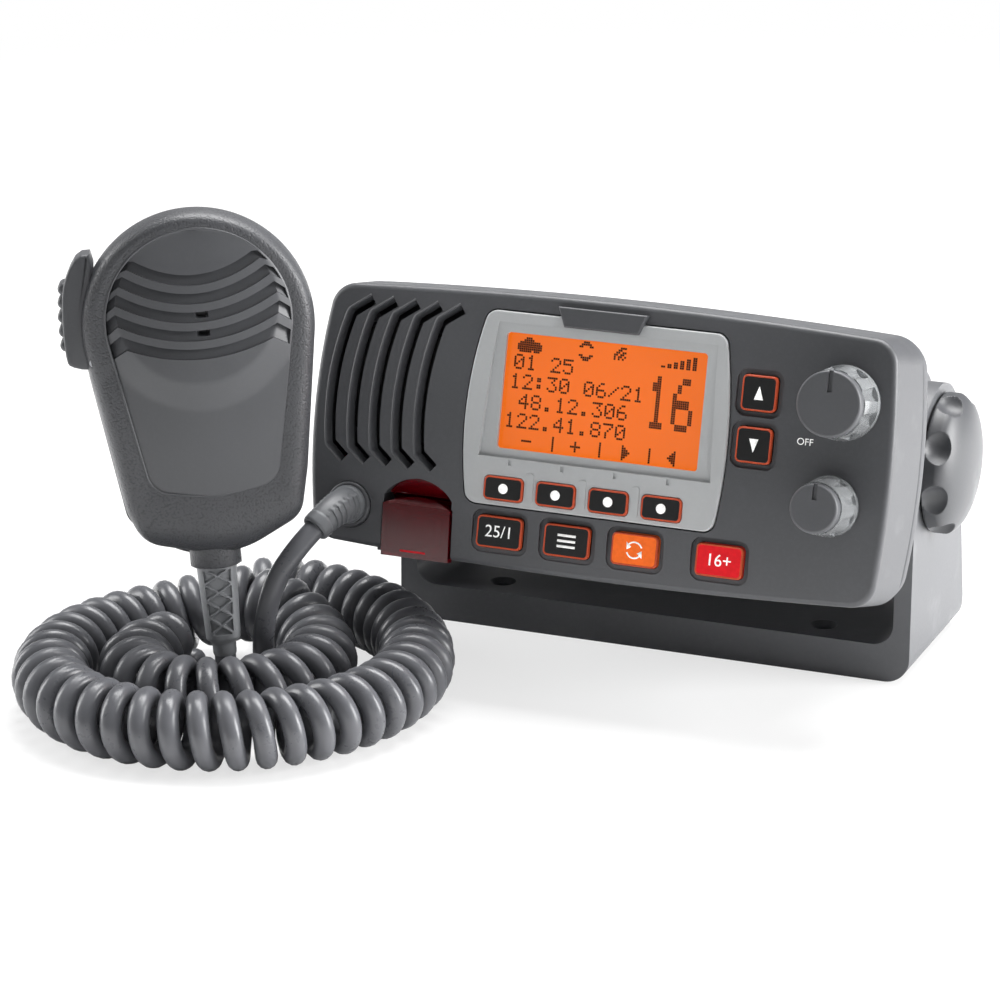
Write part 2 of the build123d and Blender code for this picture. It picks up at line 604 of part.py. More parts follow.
# ================================================================ bezel
with BuildPart() as front_bezel:
    with BuildSketch(face_plane.offset(BEZEL_BACK_N)):
        add(bowed_outline(BEZEL_HALF_WIDTH, BEZEL_HALF_HEIGHT, BEZEL_CORNER))
    with BuildSketch(face_plane.offset(FACE_N + CROWN_RISE + 1)):
        add(bowed_outline(BEZEL_HALF_WIDTH - BEZEL_FRONT_INSET, BEZEL_HALF_HEIGHT - BEZEL_TOP_INSET,
                          BEZEL_CORNER - 1))
    loft(ruled=True)
    add(crown_cylinder(), mode=Mode.INTERSECT)
    fillet(front_bezel.faces().sort_by(face_axis)[-1].edges(),
           BEZEL_EDGE_FILLET)
    # hollow behind the face
    with BuildSketch(face_plane.offset(BEZEL_BACK_N)):
        add(bowed_outline(BEZEL_HALF_WIDTH - BEZEL_FRONT_INSET - BEZEL_WALL,
                          BEZEL_HALF_HEIGHT - BEZEL_TOP_INSET - BEZEL_WALL, BEZEL_CORNER - BEZEL_WALL))
    extrude(amount=WALL_INNER_N - BEZEL_BACK_N, mode=Mode.SUBTRACT)
    # solid backing round the distress well and the cord socket
    with BuildSketch(face_plane.offset(DISTRESS_FLOOR_N - DISTRESS_BACKING_THICKNESS)):
        with Locations((DISTRESS_U, DISTRESS_BACKING_V)):
            Rectangle(*DISTRESS_BACKING)
    extrude(amount=WALL_INNER_N - DISTRESS_FLOOR_N + DISTRESS_BACKING_THICKNESS)
    # distress well, open at the bottom edge, with a sloping band above it
    with BuildSketch(face_plane.offset(DISTRESS_FLOOR_N)):
        with Locations((DISTRESS_U, 0)):
            add(shield_outline(COVER_ARCH, DISTRESS_WELL_GAP))
    extrude(amount=FAR / 4, mode=Mode.SUBTRACT)
    with BuildPart(mode=Mode.PRIVATE) as band:
        with BuildSketch(face_plane.offset(DISTRESS_FLOOR_N)):
            with Locations((DISTRESS_U, 0)):
                add(shield_outline(BAND_ARCH))
        extrude(amount=FAR / 4)
        with BuildSketch(side_plane.offset(DISTRESS_U - DISTRESS_HALF - 1)):
            Polygon((BAND_ARCH[0] - 5, BAND_FLOOR_N), (BAND_ARCH[0] + 1, BAND_FLOOR_N),
                    (BAND_ARCH[1] + 0.4, FACE_N + 2.2), (BAND_ARCH[1] + 0.4, FAR),
                    (BAND_ARCH[0] - 5, FAR), align=None)
        extrude(amount=2 * DISTRESS_HALF + 2, mode=Mode.INTERSECT)
    add(band.part, mode=Mode.SUBTRACT)
    # round trough below the band, in which the cover's arch turns as it opens
    with BuildSketch(side_plane.offset(DISTRESS_U - DISTRESS_HALF)):
        with Locations(DISTRESS_PIN_AT):
            Circle(COVER_SWEEP)
        with Locations((DISTRESS_PIN_AT[0], BAND_FLOOR_N + COVER_SWEEP)):
            Rectangle(2 * COVER_SWEEP, 2 * COVER_SWEEP, mode=Mode.SUBTRACT)
    extrude(amount=2 * DISTRESS_HALF, mode=Mode.SUBTRACT)
    with BuildSketch(face_plane.offset(DISTRESS_FLOOR_N - DISTRESS_BUTTON_SINK)):
        with Locations((DISTRESS_U, DISTRESS_BUTTON_V)):
            RectangleRounded(*[size + 2 * DISTRESS_BUTTON_GAP for size in DISTRESS_BUTTON_SIZE],
                             DISTRESS_BUTTON_CORNER + DISTRESS_BUTTON_GAP)
    extrude(amount=DISTRESS_BUTTON_SINK + 0.5, mode=Mode.SUBTRACT)
    with BuildSketch(side_plane.offset(DISTRESS_U - DISTRESS_HALF - DISTRESS_PIN_OVERHANG - 0.1)):
        with Locations(DISTRESS_PIN_AT):
            Circle(DISTRESS_PIN_RADIUS + DISTRESS_PIN_FIT)
    extrude(amount=2 * (DISTRESS_HALF + DISTRESS_PIN_OVERHANG + 0.1), mode=Mode.SUBTRACT)
    # pocket and window for the display trim
    with BuildSketch(face_plane.offset(TRIM_LEDGE_N)):
        add(trim_outline(-TRIM_GAP))
    extrude(amount=FAR / 4, mode=Mode.SUBTRACT)
    with BuildSketch(face_plane.offset(WALL_INNER_N - 1)):
        with Locations(LCD_CENTRE):
            Rectangle(LCD_WIDTH + LCD_OPENING_MARGIN, LCD_HEIGHT + LCD_OPENING_MARGIN)
    extrude(amount=4, mode=Mode.SUBTRACT)
    with BuildSketch(face_plane.offset(TAB_SEAT_N)):
        add(tab_outline(TAB_FIT))
    extrude(amount=FAR / 8, mode=Mode.SUBTRACT)
    # moats and key holes
    for key_name, key_place, key_size in keys():
        if not key_name.startswith("soft"):
            with BuildSketch(face_plane.offset(crown_at(key_place[1]) - MOAT_DEPTH)):
                with Locations(key_place):
                    RectangleRounded(key_size[0] + 2 * MOAT_WIDTH, key_size[1] + 2 * MOAT_WIDTH,
                                     KEY_CORNER + MOAT_WIDTH)
            extrude(amount=4, mode=Mode.SUBTRACT)
        with BuildSketch(face_plane.offset(WALL_INNER_N - 1)):
            with Locations(key_place):
                RectangleRounded(key_size[0] + 2 * KEY_GAP, key_size[1] + 2 * KEY_GAP,
                                 KEY_CORNER + KEY_GAP)
        extrude(amount=FAR / 4, mode=Mode.SUBTRACT)
    # louvres in front of the speaker: curved slots with chevron ends
    for slot in range(GRILLE_SLOTS):
        shift = slot * GRILLE_PITCH
        top_end, top_bend, middle, low_bend, low_end = [(u + shift, v) for u, v in GRILLE_FIRST]
        with BuildSketch(face_plane.offset(WALL_INNER_N - 1)):
            with BuildLine() as slot_line:
                Line(top_end, top_bend)
                ThreePointArc(top_bend, middle, low_bend)
                Line(low_bend, low_end)
            trace(lines=slot_line.line, line_width=GRILLE_SLOT_WIDTH)
        extrude(amount=FAR / 4, mode=Mode.SUBTRACT)
    # holes for the two shafts, seat for the cord socket
    with BuildSketch(face_plane.offset(WALL_INNER_N - 1)):
        with Locations(VOLUME_AT, SQUELCH_AT):
            Circle(SHAFT_RADIUS + SHAFT_HOLE_CLEARANCE)
        with Locations(SOCKET_AT):
            Circle(SOCKET_FLANGE_RADIUS - SOCKET_NECK_INSET + 0.1)
    extrude(amount=FAR / 4, mode=Mode.SUBTRACT)
    with BuildSketch(face_plane.offset(crown_at(SOCKET_AT[1]) - SOCKET_SINK)):
        with Locations(SOCKET_AT):
            Circle(SOCKET_FLANGE_RADIUS + 0.2)
    extrude(amount=FAR / 4, mode=Mode.SUBTRACT)
finish(front_bezel.part, "front_bezel")

# ================================================================ gasket and rear chassis
with BuildPart() as bezel_gasket:
    with BuildSketch(face_plane.offset(GASKET_BACK_N)):
        add(bowed_outline(BEZEL_HALF_WIDTH - GASKET_INSET, BEZEL_HALF_HEIGHT - GASKET_INSET,
                          BEZEL_CORNER - GASKET_INSET))
        add(bowed_outline(BEZEL_HALF_WIDTH - BEZEL_FRONT_INSET - BEZEL_WALL,
                          BEZEL_HALF_HEIGHT - BEZEL_TOP_INSET - BEZEL_WALL, BEZEL_CORNER - BEZEL_WALL),
            mode=Mode.SUBTRACT)
    extrude(amount=GASKET_THICKNESS)
finish(bezel_gasket.part, "bezel_gasket")

CHASSIS_MIDDLE_V = (CHASSIS_TOP_V + CHASSIS_BOTTOM_V) / 2
CHASSIS_HEIGHT = CHASSIS_TOP_V - CHASSIS_BOTTOM_V
CAVITY_REAR_N = CHASSIS_REAR_N + REAR_BLOCK
CASE_SCREW_SPACING = (2 * (CHASSIS_HALF_WIDTH + CASE_SCREW_OUTSET), CHASSIS_HEIGHT - 2 * CASE_SCREW_INSET)
CASE_SCREW_HEAD_N = CHASSIS_FRONT_N - FLANGE_THICKNESS - CASE_SCREW_HEAD_HEIGHT
PORT_PLACES = [(u, CHASSIS_MIDDLE_V) for u in (-PORT_U, 0, PORT_U)]

with BuildPart() as rear_chassis:
    with BuildSketch(face_plane.offset(CHASSIS_FRONT_N - FLANGE_THICKNESS)):
        add(bowed_outline(BEZEL_HALF_WIDTH, BEZEL_HALF_HEIGHT, BEZEL_CORNER))
    extrude(amount=FLANGE_THICKNESS)
    chamfer(rear_chassis.faces().sort_by(face_axis)[0].edges(), FLANGE_CHAMFER)
    with BuildSketch(face_plane.offset(CHASSIS_REAR_N)):
        with Locations((0, CHASSIS_MIDDLE_V)):
            RectangleRounded(2 * CHASSIS_HALF_WIDTH, CHASSIS_HEIGHT, CHASSIS_CORNER)
    extrude(amount=CHASSIS_FRONT_N - CHASSIS_REAR_N)
    # room for the boards
    with BuildSketch(face_plane.offset(CAVITY_REAR_N)):
        with Locations((0, CHASSIS_MIDDLE_V)):
            RectangleRounded(2 * (CHASSIS_HALF_WIDTH - CHASSIS_WALL), CHASSIS_HEIGHT - 2 * CHASSIS_WALL,
                             CHASSIS_CORNER - CHASSIS_WALL)
    extrude(amount=CHASSIS_FRONT_N - CAVITY_REAR_N, mode=Mode.SUBTRACT)
    # bosses round the gimbal inserts
    for side_sign in (-1, 1):
        boss_plane = Plane(origin=PIVOT, x_dir=(0, 0, 1), z_dir=(side_sign, 0, 0))
        with BuildSketch(boss_plane.offset(INSERT_FACE_X - INSERT_LENGTH - INSERT_BOSS_FLOOR)):
            Circle(INSERT_RADIUS + INSERT_BOSS_WALL)
        extrude(amount=INSERT_LENGTH + INSERT_BOSS_FLOOR / 2)
        with BuildSketch(boss_plane.offset(INSERT_FACE_X - INSERT_LENGTH)):
            Circle(INSERT_RADIUS)
        extrude(amount=INSERT_LENGTH, mode=Mode.SUBTRACT)
    # posts that carry the main board
    with BuildSketch(cross_plane.offset(-CHASSIS_BOTTOM_V - MAIN_BOARD_LIFT)):
        with GridLocations(*POST_SPACING, 2, 2):
            Circle(POST_RADIUS)
    extrude(amount=POST_HEIGHT)
    # cooling fins: slots cut between them, with round pads left for the sockets
    with BuildSketch(face_plane.offset(CHASSIS_REAR_N)):
        with Locations((0, CHASSIS_MIDDLE_V)):
            with GridLocations(FIN_PITCH, 1, FIN_COUNT, 1):
                Rectangle(FIN_SLOT, CHASSIS_HEIGHT + 2)
        with Locations(*PORT_PLACES):
            Circle(PORT_PAD_RADIUS, mode=Mode.SUBTRACT)
    extrude(amount=FIN_DEPTH, mode=Mode.SUBTRACT)
    # case screws go in from behind, at the four corners of the flange
    with BuildSketch(face_plane.offset(CHASSIS_FRONT_N - FLANGE_THICKNESS)):
        with GridLocations(*CASE_SCREW_SPACING, 2, 2):
            Circle(CASE_SCREW_RADIUS)
    extrude(amount=FLANGE_THICKNESS, mode=Mode.SUBTRACT)
    with BuildSketch(face_plane.offset(CHASSIS_REAR_N)):
        with Locations(*PORT_PLACES):
            Circle(PORT_BORE_RADIUS)
    extrude(amount=PORT_BORE_DEPTH, mode=Mode.SUBTRACT)
finish(rear_chassis.part, "rear_chassis")

with BuildPart() as case_screws:
    with BuildSketch(face_plane.offset(CHASSIS_FRONT_N - FLANGE_THICKNESS)):
        with GridLocations(*CASE_SCREW_SPACING, 2, 2):
            Circle(CASE_SCREW_RADIUS)
    extrude(amount=FLANGE_THICKNESS)
    with BuildSketch(face_plane.offset(CASE_SCREW_HEAD_N)):
        with GridLocations(*CASE_SCREW_SPACING, 2, 2):
            Circle(CASE_SCREW_HEAD_RADIUS)
    extrude(amount=CASE_SCREW_HEAD_HEIGHT)
    with BuildSketch(face_plane.offset(CASE_SCREW_HEAD_N)):
        with GridLocations(*CASE_SCREW_SPACING, 2, 2):
            RegularPolygon(CASE_SCREW_KEY_RADIUS, 6)
    extrude(amount=CASE_SCREW_KEY_RADIUS, mode=Mode.SUBTRACT)
finish(case_screws.part, "case_screws")

# ================================================================ sockets at the rear
with BuildPart() as antenna_socket:
    with BuildSketch(face_plane.offset(CHASSIS_REAR_N + PORT_BORE_DEPTH)):
        with Locations((PORT_U, CHASSIS_MIDDLE_V)):
            Circle(PORT_BORE_RADIUS)
    extrude(amount=-PORT_BORE_DEPTH)
    with BuildSketch(face_plane.offset(CHASSIS_REAR_N)):
        with Locations((PORT_U, CHASSIS_MIDDLE_V)):
            RectangleRounded(ANTENNA_FLANGE, ANTENNA_FLANGE, ANTENNA_FLANGE_CORNER)
    extrude(amount=-ANTENNA_FLANGE_THICKNESS)
    with BuildSketch(face_plane.offset(CHASSIS_REAR_N - ANTENNA_FLANGE_THICKNESS)):
        with Locations((PORT_U, CHASSIS_MIDDLE_V)):
            Circle(ANTENNA_THREAD_RADIUS)
            Circle(ANTENNA_BORE_RADIUS, mode=Mode.SUBTRACT)
    extrude(amount=-ANTENNA_THREAD_LENGTH)
finish(antenna_socket.part, "antenna_socket")


def gland(u, radius, label):
    """A bare cable gland: flange, hexagon and a ribbed rubber nose."""
    with BuildPart() as piece:
        with BuildSketch(face_plane.offset(CHASSIS_REAR_N + PORT_BORE_DEPTH)):
            with Locations((u, CHASSIS_MIDDLE_V)):
                Circle(PORT_BORE_RADIUS)
        extrude(amount=-PORT_BORE_DEPTH)
        with BuildSketch(face_plane.offset(CHASSIS_REAR_N)):
            with Locations((u, CHASSIS_MIDDLE_V)):
                RegularPolygon(radius + GLAND_NUT_WALL, 6)
        extrude(amount=-GLAND_NUT_HEIGHT)
        with BuildSketch(face_plane.offset(CHASSIS_REAR_N - GLAND_NUT_HEIGHT)):
            with Locations((u, CHASSIS_MIDDLE_V)):
                Circle(radius)
                Circle(GLAND_BORE, mode=Mode.SUBTRACT)
        extrude(amount=-GLAND_NOSE, taper=GLAND_TAPER)
    finish(piece.part, label)


gland(-PORT_U, POWER_GLAND_RADIUS, "power_gland")
gland(0, DATA_GLAND_RADIUS, "data_gland")

# ================================================================ display
with BuildPart() as display_trim:
    with BuildSketch(face_plane.offset(TRIM_LEDGE_N)):
        add(trim_outline())
    extrude(amount=FAR / 8)
    add(crown_cylinder(TRIM_RAISE), mode=Mode.INTERSECT)
    fillet(display_trim.faces().sort_by(face_axis)[-1].edges(), TRIM_FILLET)
    # dished frame round the window
    with BuildSketch(face_plane.offset(crown_at(0) - DISH_DEPTH)):
        with Locations(LCD_CENTRE):
            Trapezoid(LCD_WIDTH + DISH_MARGIN[0], LCD_HEIGHT + DISH_MARGIN[1], DISH_SLOPE, DISH_SLOPE)
    extrude(amount=FAR / 8, mode=Mode.SUBTRACT)
    with BuildSketch(face_plane.offset(TRIM_LEDGE_N)):
        with Locations(LCD_CENTRE):
            Rectangle(LCD_WIDTH + PANE_MARGIN + 2 * PANE_GAP, LCD_HEIGHT + PANE_MARGIN + 2 * PANE_GAP)
    extrude(amount=PANE_LIFT + PANE_THICKNESS + PANE_GAP / 2, mode=Mode.SUBTRACT)
    with BuildSketch(face_plane.offset(TRIM_LEDGE_N)):
        with Locations(LCD_CENTRE):
            RectangleRounded(LCD_WIDTH, LCD_HEIGHT, LCD_CORNER)
    extrude(amount=FAR / 8, mode=Mode.SUBTRACT)
    for key_name, key_place, key_size in keys():
        if key_name.startswith("soft"):
            with BuildSketch(face_plane.offset(TRIM_LEDGE_N - 1)):
                with Locations(key_place):
                    RectangleRounded(key_size[0] + 2 * KEY_GAP, key_size[1] + 2 * KEY_GAP,
                                     KEY_CORNER + KEY_GAP)
            extrude(amount=FAR / 8, mode=Mode.SUBTRACT)
    # notch above each soft key, raised rib between neighbours
    with BuildSketch(face_plane.offset(crown_at(TRIM_NOTCH_V) + TRIM_RAISE - TRIM_NOTCH_DEPTH)):
        with Locations((SOFT_KEY_MIDDLE_U + TRIM_NOTCH_SHIFT, TRIM_NOTCH_V)):
            with GridLocations(SOFT_KEY_PITCH, 0, 4, 1):
                Rectangle(*TRIM_NOTCH_SIZE)
    extrude(amount=FAR / 8, mode=Mode.SUBTRACT)
    with BuildPart(mode=Mode.PRIVATE) as trim_ribs:
        with BuildSketch(face_plane.offset(TRIM_LEDGE_N + TRIM_RAISE)):
            with Locations((SOFT_KEY_MIDDLE_U, TRIM_RIB_V)):
                with GridLocations(SOFT_KEY_PITCH, 0, 3, 1):
                    RectangleRounded(*TRIM_RIB_SIZE, TRIM_RIB_SIZE[0] / 3)
        extrude(amount=FAR / 8)
        add(crown_cylinder(TRIM_RAISE + TRIM_RIB_RAISE), mode=Mode.INTERSECT)
    add(trim_ribs.part)
    # seat of the small tab at the top
    with BuildSketch(face_plane.offset(TAB_SEAT_N)):
        add(tab_outline(TAB_FIT))
    extrude(amount=FAR / 8, mode=Mode.SUBTRACT)
finish(display_trim.part, "display_trim")

with BuildPart() as display_tab:
    with BuildSketch(face_plane.offset(TAB_SEAT_N)):
        add(tab_outline())
    extrude(amount=TAB_SINK + TAB_STAND)
    fillet(display_tab.faces().sort_by(face_axis)[-1].edges(), TRIM_FILLET)
finish(display_tab.part, "display_tab")

GLASS_BACK_N = TRIM_LEDGE_N + PANE_LIFT
with BuildPart() as display_window:
    with BuildSketch(face_plane.offset(GLASS_BACK_N)):
        with Locations(LCD_CENTRE):
            Rectangle(LCD_WIDTH + PANE_MARGIN, LCD_HEIGHT + PANE_MARGIN)
    extrude(amount=PANE_THICKNESS)
finish(display_window.part, "display_window")

with BuildPart() as lcd_module:
    with BuildSketch(face_plane.offset(BOARD_N + BOARD_THICKNESS)):
        with Locations(LCD_CENTRE):
            Rectangle(LCD_WIDTH + PANE_MARGIN, LCD_HEIGHT + PANE_MARGIN)
    extrude(amount=GLASS_BACK_N - PANE_GAP / 2 - BOARD_N - BOARD_THICKNESS)
finish(lcd_module.part, "lcd_module")

# ================================================================ keys, membrane, boards
MEMBRANE_N = KEY_FOOT_N - KEY_TRAVEL - 0.1
with BuildPart() as keypad_membrane:
    with BuildSketch(face_plane.offset(MEMBRANE_N - MEMBRANE_THICKNESS)):
        with Locations(LOW_MEMBRANE_AT):
            RectangleRounded(*LOW_MEMBRANE_SIZE, MEMBRANE_CORNER)
        with Locations(SIDE_MEMBRANE_AT):
            RectangleRounded(*SIDE_MEMBRANE_SIZE, MEMBRANE_CORNER)
    extrude(amount=MEMBRANE_THICKNESS)
finish(keypad_membrane.part, "keypad_membrane")


def key_cap(label, place, size):
    """One key: a rounded cap whose top edge is softened."""
    raised = TRIM_RAISE if label.startswith("soft") else 0.0
    top = crown_at(place[1]) + raised + KEY_STAND
    with BuildPart() as cap:
        with BuildSketch(face_plane.offset(KEY_FOOT_N)):
            with Locations(place):
                RectangleRounded(size[0], size[1], KEY_CORNER)
        extrude(amount=top - KEY_FOOT_N)
        fillet(cap.faces().sort_by(face_axis)[-1].edges(), KEY_FILLET)
    finish(cap.part, label)


for key_name, key_place, key_size in keys():
    key_cap(key_name, key_place, key_size)

with BuildPart() as front_circuit_board:
    with BuildSketch(face_plane.offset(BOARD_N)):
        with Locations(BOARD_AT):
            Rectangle(*BOARD_SIZE)
    extrude(amount=BOARD_THICKNESS)
    # spacers between the board and the inside of the face
    with BuildSketch(face_plane.offset(BOARD_N + BOARD_THICKNESS)):
        with Locations(*SPACERS):
            Circle(SPACER_RADIUS)
    extrude(amount=WALL_INNER_N - BOARD_N - BOARD_THICKNESS)
    # rubber keypad stands on a raised frame of the board
    with BuildSketch(face_plane.offset(BOARD_N + BOARD_THICKNESS)):
        with Locations(LOW_MEMBRANE_AT):
            Rectangle(*[size - 2 * MEMBRANE_FRAME_INSET for size in LOW_MEMBRANE_SIZE])
    extrude(amount=MEMBRANE_N - MEMBRANE_THICKNESS - BOARD_N - BOARD_THICKNESS)
finish(front_circuit_board.part, "front_circuit_board")

MAIN_BOARD_V = CHASSIS_BOTTOM_V + MAIN_BOARD_LIFT
with BuildPart() as main_circuit_board:
    with BuildSketch(cross_plane.offset(-MAIN_BOARD_V - BOARD_THICKNESS)):
        Rectangle(*MAIN_BOARD_SIZE)
    extrude(amount=BOARD_THICKNESS)
    # screening cans and one round capacitor
    with BuildSketch(cross_plane.offset(-MAIN_BOARD_V - BOARD_THICKNESS)):
        with Locations(*MAIN_BLOCKS):
            Rectangle(*MAIN_BLOCK_SIZE)
        with Locations(MAIN_CAPACITOR_AT):
            Circle(MAIN_CAPACITOR_RADIUS)
    extrude(amount=-MAIN_BLOCK_HEIGHT)
finish(main_circuit_board.part, "main_circuit_board")

# ================================================================ speaker
SPEAKER_FACE_N = WALL_INNER_N - SPEAKER_MEMBRANE - SPEAKER_GAP
SPEAKER_RING_N = WALL_INNER_N - SPEAKER_RING_DEPTH

with BuildPart() as speaker_membrane:
    with BuildSketch(face_plane.offset(WALL_INNER_N - SPEAKER_MEMBRANE)):
        with Locations(SPEAKER_AT):
            Circle(SPEAKER_RADIUS)
    extrude(amount=SPEAKER_MEMBRANE)
finish(speaker_membrane.part, "speaker_membrane")

with BuildPart() as speaker_driver:
    with BuildSketch(face_plane.offset(SPEAKER_RING_N)):
        with Locations(SPEAKER_AT):
            Circle(SPEAKER_RADIUS)
            Circle(SPEAKER_RADIUS - SPEAKER_RING, mode=Mode.SUBTRACT)
    extrude(amount=SPEAKER_FACE_N - SPEAKER_RING_N)
    # cone and magnet behind it
    with BuildSketch(face_plane.offset(SPEAKER_RING_N)):
        with Locations(SPEAKER_AT):
            Circle(SPEAKER_RADIUS)
    with BuildSketch(face_plane.offset(SPEAKER_RING_N - SPEAKER_CONE_DEPTH)):
        with Locations(SPEAKER_AT):
            Circle(SPEAKER_MAGNET_RADIUS)
    loft()
    with BuildSketch(face_plane.offset(SPEAKER_RING_N - SPEAKER_CONE_DEPTH - SPEAKER_MAGNET_DEPTH)):
        with Locations(SPEAKER_AT):
            Circle(SPEAKER_MAGNET_RADIUS)
    extrude(amount=SPEAKER_MAGNET_DEPTH)
finish(speaker_driver.part, "speaker_driver")


# ================================================================ the two turning controls
def control(place, cap_radius, skirt_radius, name):
    """An encoder, its shaft, the dark cap and the clear lobed skirt round it."""
    surface = crown_at(place[1])
    seat = surface + KNOB_SEAT_GAP
    board_face = BOARD_N + BOARD_THICKNESS
    with BuildPart() as encoder:
        with BuildSketch(face_plane.offset(board_face)):
            with Locations(place):
                RectangleRounded(ENCODER_SIZE, ENCODER_SIZE, ENCODER_CORNER)
                Circle(SHAFT_RADIUS + SHAFT_CLEARANCE, mode=Mode.SUBTRACT)
        extrude(amount=WALL_INNER_N - board_face)
        with BuildSketch(face_plane.offset(WALL_INNER_N)):
            with Locations(place):
                Circle(SHAFT_RADIUS + ENCODER_BUSH_WALL)
                Circle(SHAFT_RADIUS + SHAFT_CLEARANCE, mode=Mode.SUBTRACT)
        extrude(amount=surface - WALL_INNER_N)
    finish(encoder.part, f"{name}_encoder")

    shaft_end = seat + KNOB_HEIGHT - SHAFT_SHORT_OF_TOP
    with BuildPart() as shaft:
        with BuildSketch(face_plane.offset(board_face + SHAFT_END_GAP)):
            with Locations(place):
                Circle(SHAFT_RADIUS)
        extrude(amount=shaft_end - board_face - SHAFT_END_GAP)
    finish(shaft.part, f"{name}_shaft")

    with BuildPart() as cap:
        with BuildSketch(face_plane.offset(seat)):
            with Locations(place):
                Circle(cap_radius - CAP_STEM_INSET)
        extrude(amount=KNOB_HEIGHT - CAP_TOP_THICKNESS)
        with BuildSketch(face_plane.offset(seat + KNOB_HEIGHT - CAP_TOP_THICKNESS)):
            with Locations(place):
                Circle(cap_radius)
        extrude(amount=CAP_TOP_THICKNESS)
        fillet(cap.faces().sort_by(face_axis)[-1].edges(), CAP_FILLET)
        with BuildSketch(face_plane.offset(seat)):
            with Locations(place):
                Circle(SHAFT_RADIUS)
        extrude(amount=shaft_end - seat, mode=Mode.SUBTRACT)
        # indicator groove
        with BuildSketch(face_plane.offset(seat + KNOB_HEIGHT - INDICATOR_DEPTH)):
            with Locations((place[0], place[1] + cap_radius * INDICATOR_SHARE)):
                Rectangle(INDICATOR_WIDTH, cap_radius * INDICATOR_SHARE)
        extrude(amount=2 * INDICATOR_DEPTH, mode=Mode.SUBTRACT)
    finish(cap.part, f"{name}_knob")

    with BuildPart() as skirt:
        with BuildSketch(face_plane.offset(seat)):
            with Locations(place):
                Circle(skirt_radius)
        extrude(amount=KNOB_HEIGHT - CAP_TOP_THICKNESS - SKIRT_TOP_GAP,
                taper=degrees(atan2(skirt_radius - cap_radius, KNOB_HEIGHT)))
        with BuildSketch(face_plane.offset(seat + LOBE_FOOT)):
            with Locations(place):
                with PolarLocations(skirt_radius + LOBE_OUTSET, KNOB_LOBES, start_angle=LOBE_START_ANGLE):
                    Circle(skirt_radius * LOBE_SHARE)
        extrude(amount=KNOB_HEIGHT, mode=Mode.SUBTRACT)
        with BuildSketch(face_plane.offset(seat)):
            with Locations(place):
                Circle(cap_radius - CAP_STEM_INSET)
        extrude(amount=KNOB_HEIGHT, mode=Mode.SUBTRACT)
    finish(skirt.part, f"{name}_knob_skirt")


control(VOLUME_AT, VOLUME_CAP_RADIUS, VOLUME_SKIRT_RADIUS, "volume")
control(SQUELCH_AT, SQUELCH_CAP_RADIUS, SQUELCH_SKIRT_RADIUS, "squelch")

# ================================================================ distress cover, pin, spring, button
PIN_V, PIN_N = DISTRESS_PIN_AT
with BuildPart() as distress_cover:
    with BuildSketch(face_plane.offset(COVER_BACK_N)):
        with Locations((DISTRESS_U, 0)):
            add(shield_outline(COVER_ARCH, -COVER_FIT))
    extrude(amount=FAR / 8)
    add(crown_cylinder(COVER_RAISE), mode=Mode.INTERSECT)
    # the arch slopes down into the well
    with BuildSketch(side_plane.offset(DISTRESS_U - DISTRESS_HALF - 1)):
        Polygon((COVER_ARCH[0] - 0.2, FACE_N + 2.7), (COVER_ARCH[1] + 0.5, FACE_N - 0.4),
                (COVER_ARCH[1] + 0.5, FAR), (COVER_ARCH[0] - 0.2, FAR), align=None)
    extrude(amount=2 * DISTRESS_HALF + 2, mode=Mode.SUBTRACT)
    # hollow over the button
    with BuildSketch(face_plane.offset(COVER_BACK_N)):
        with Locations((DISTRESS_U, DISTRESS_BUTTON_V - 0.7)):
            Rectangle(2 * (DISTRESS_HALF - COVER_WALL), COVER_HOLLOW_HEIGHT)
    extrude(amount=COVER_HOLLOW_DEPTH, mode=Mode.SUBTRACT)
    # eye for the hinge pin, with a gap in the middle for the spring
    with BuildSketch(side_plane.offset(DISTRESS_U - DISTRESS_HALF - 1)):
        with Locations(DISTRESS_PIN_AT):
            Circle(DISTRESS_PIN_RADIUS + SHAFT_CLEARANCE)
    extrude(amount=2 * DISTRESS_HALF + 2, mode=Mode.SUBTRACT)
    with BuildSketch(side_plane.offset(DISTRESS_U - SPRING_HALF)):
        with Locations((PIN_V, PIN_N - 0.5)):
            Rectangle(SPRING_SLOT, SPRING_SLOT)
    extrude(amount=2 * SPRING_HALF, mode=Mode.SUBTRACT)
finish(distress_cover.part, "distress_cover")

with BuildPart() as distress_cover_pin:
    with BuildSketch(side_plane.offset(DISTRESS_U - DISTRESS_HALF - DISTRESS_PIN_OVERHANG)):
        with Locations(DISTRESS_PIN_AT):
            Circle(DISTRESS_PIN_RADIUS)
    extrude(amount=2 * (DISTRESS_HALF + DISTRESS_PIN_OVERHANG))
finish(distress_cover_pin.part, "distress_cover_pin")

with BuildPart() as distress_cover_spring:
    with BuildSketch(side_plane.offset(DISTRESS_U - SPRING_HALF + SPRING_SIDE_GAP)):
        with Locations(DISTRESS_PIN_AT):
            Circle(DISTRESS_PIN_RADIUS + SPRING_WIRE)
            Circle(DISTRESS_PIN_RADIUS + DISTRESS_PIN_FIT, mode=Mode.SUBTRACT)
    extrude(amount=2 * (SPRING_HALF - SPRING_SIDE_GAP))
finish(distress_cover_spring.part, "distress_cover_spring")

with BuildPart() as distress_button:
    with BuildSketch(face_plane.offset(DISTRESS_FLOOR_N - DISTRESS_BUTTON_FOOT)):
        with Locations((DISTRESS_U, DISTRESS_BUTTON_V)):
            RectangleRounded(*DISTRESS_BUTTON_SIZE, DISTRESS_BUTTON_CORNER)
    extrude(amount=DISTRESS_BUTTON_HEIGHT)
    fillet(distress_button.faces().sort_by(face_axis)[-1].edges(), DISTRESS_BUTTON_CORNER / 2)
finish(distress_button.part, "distress_button")

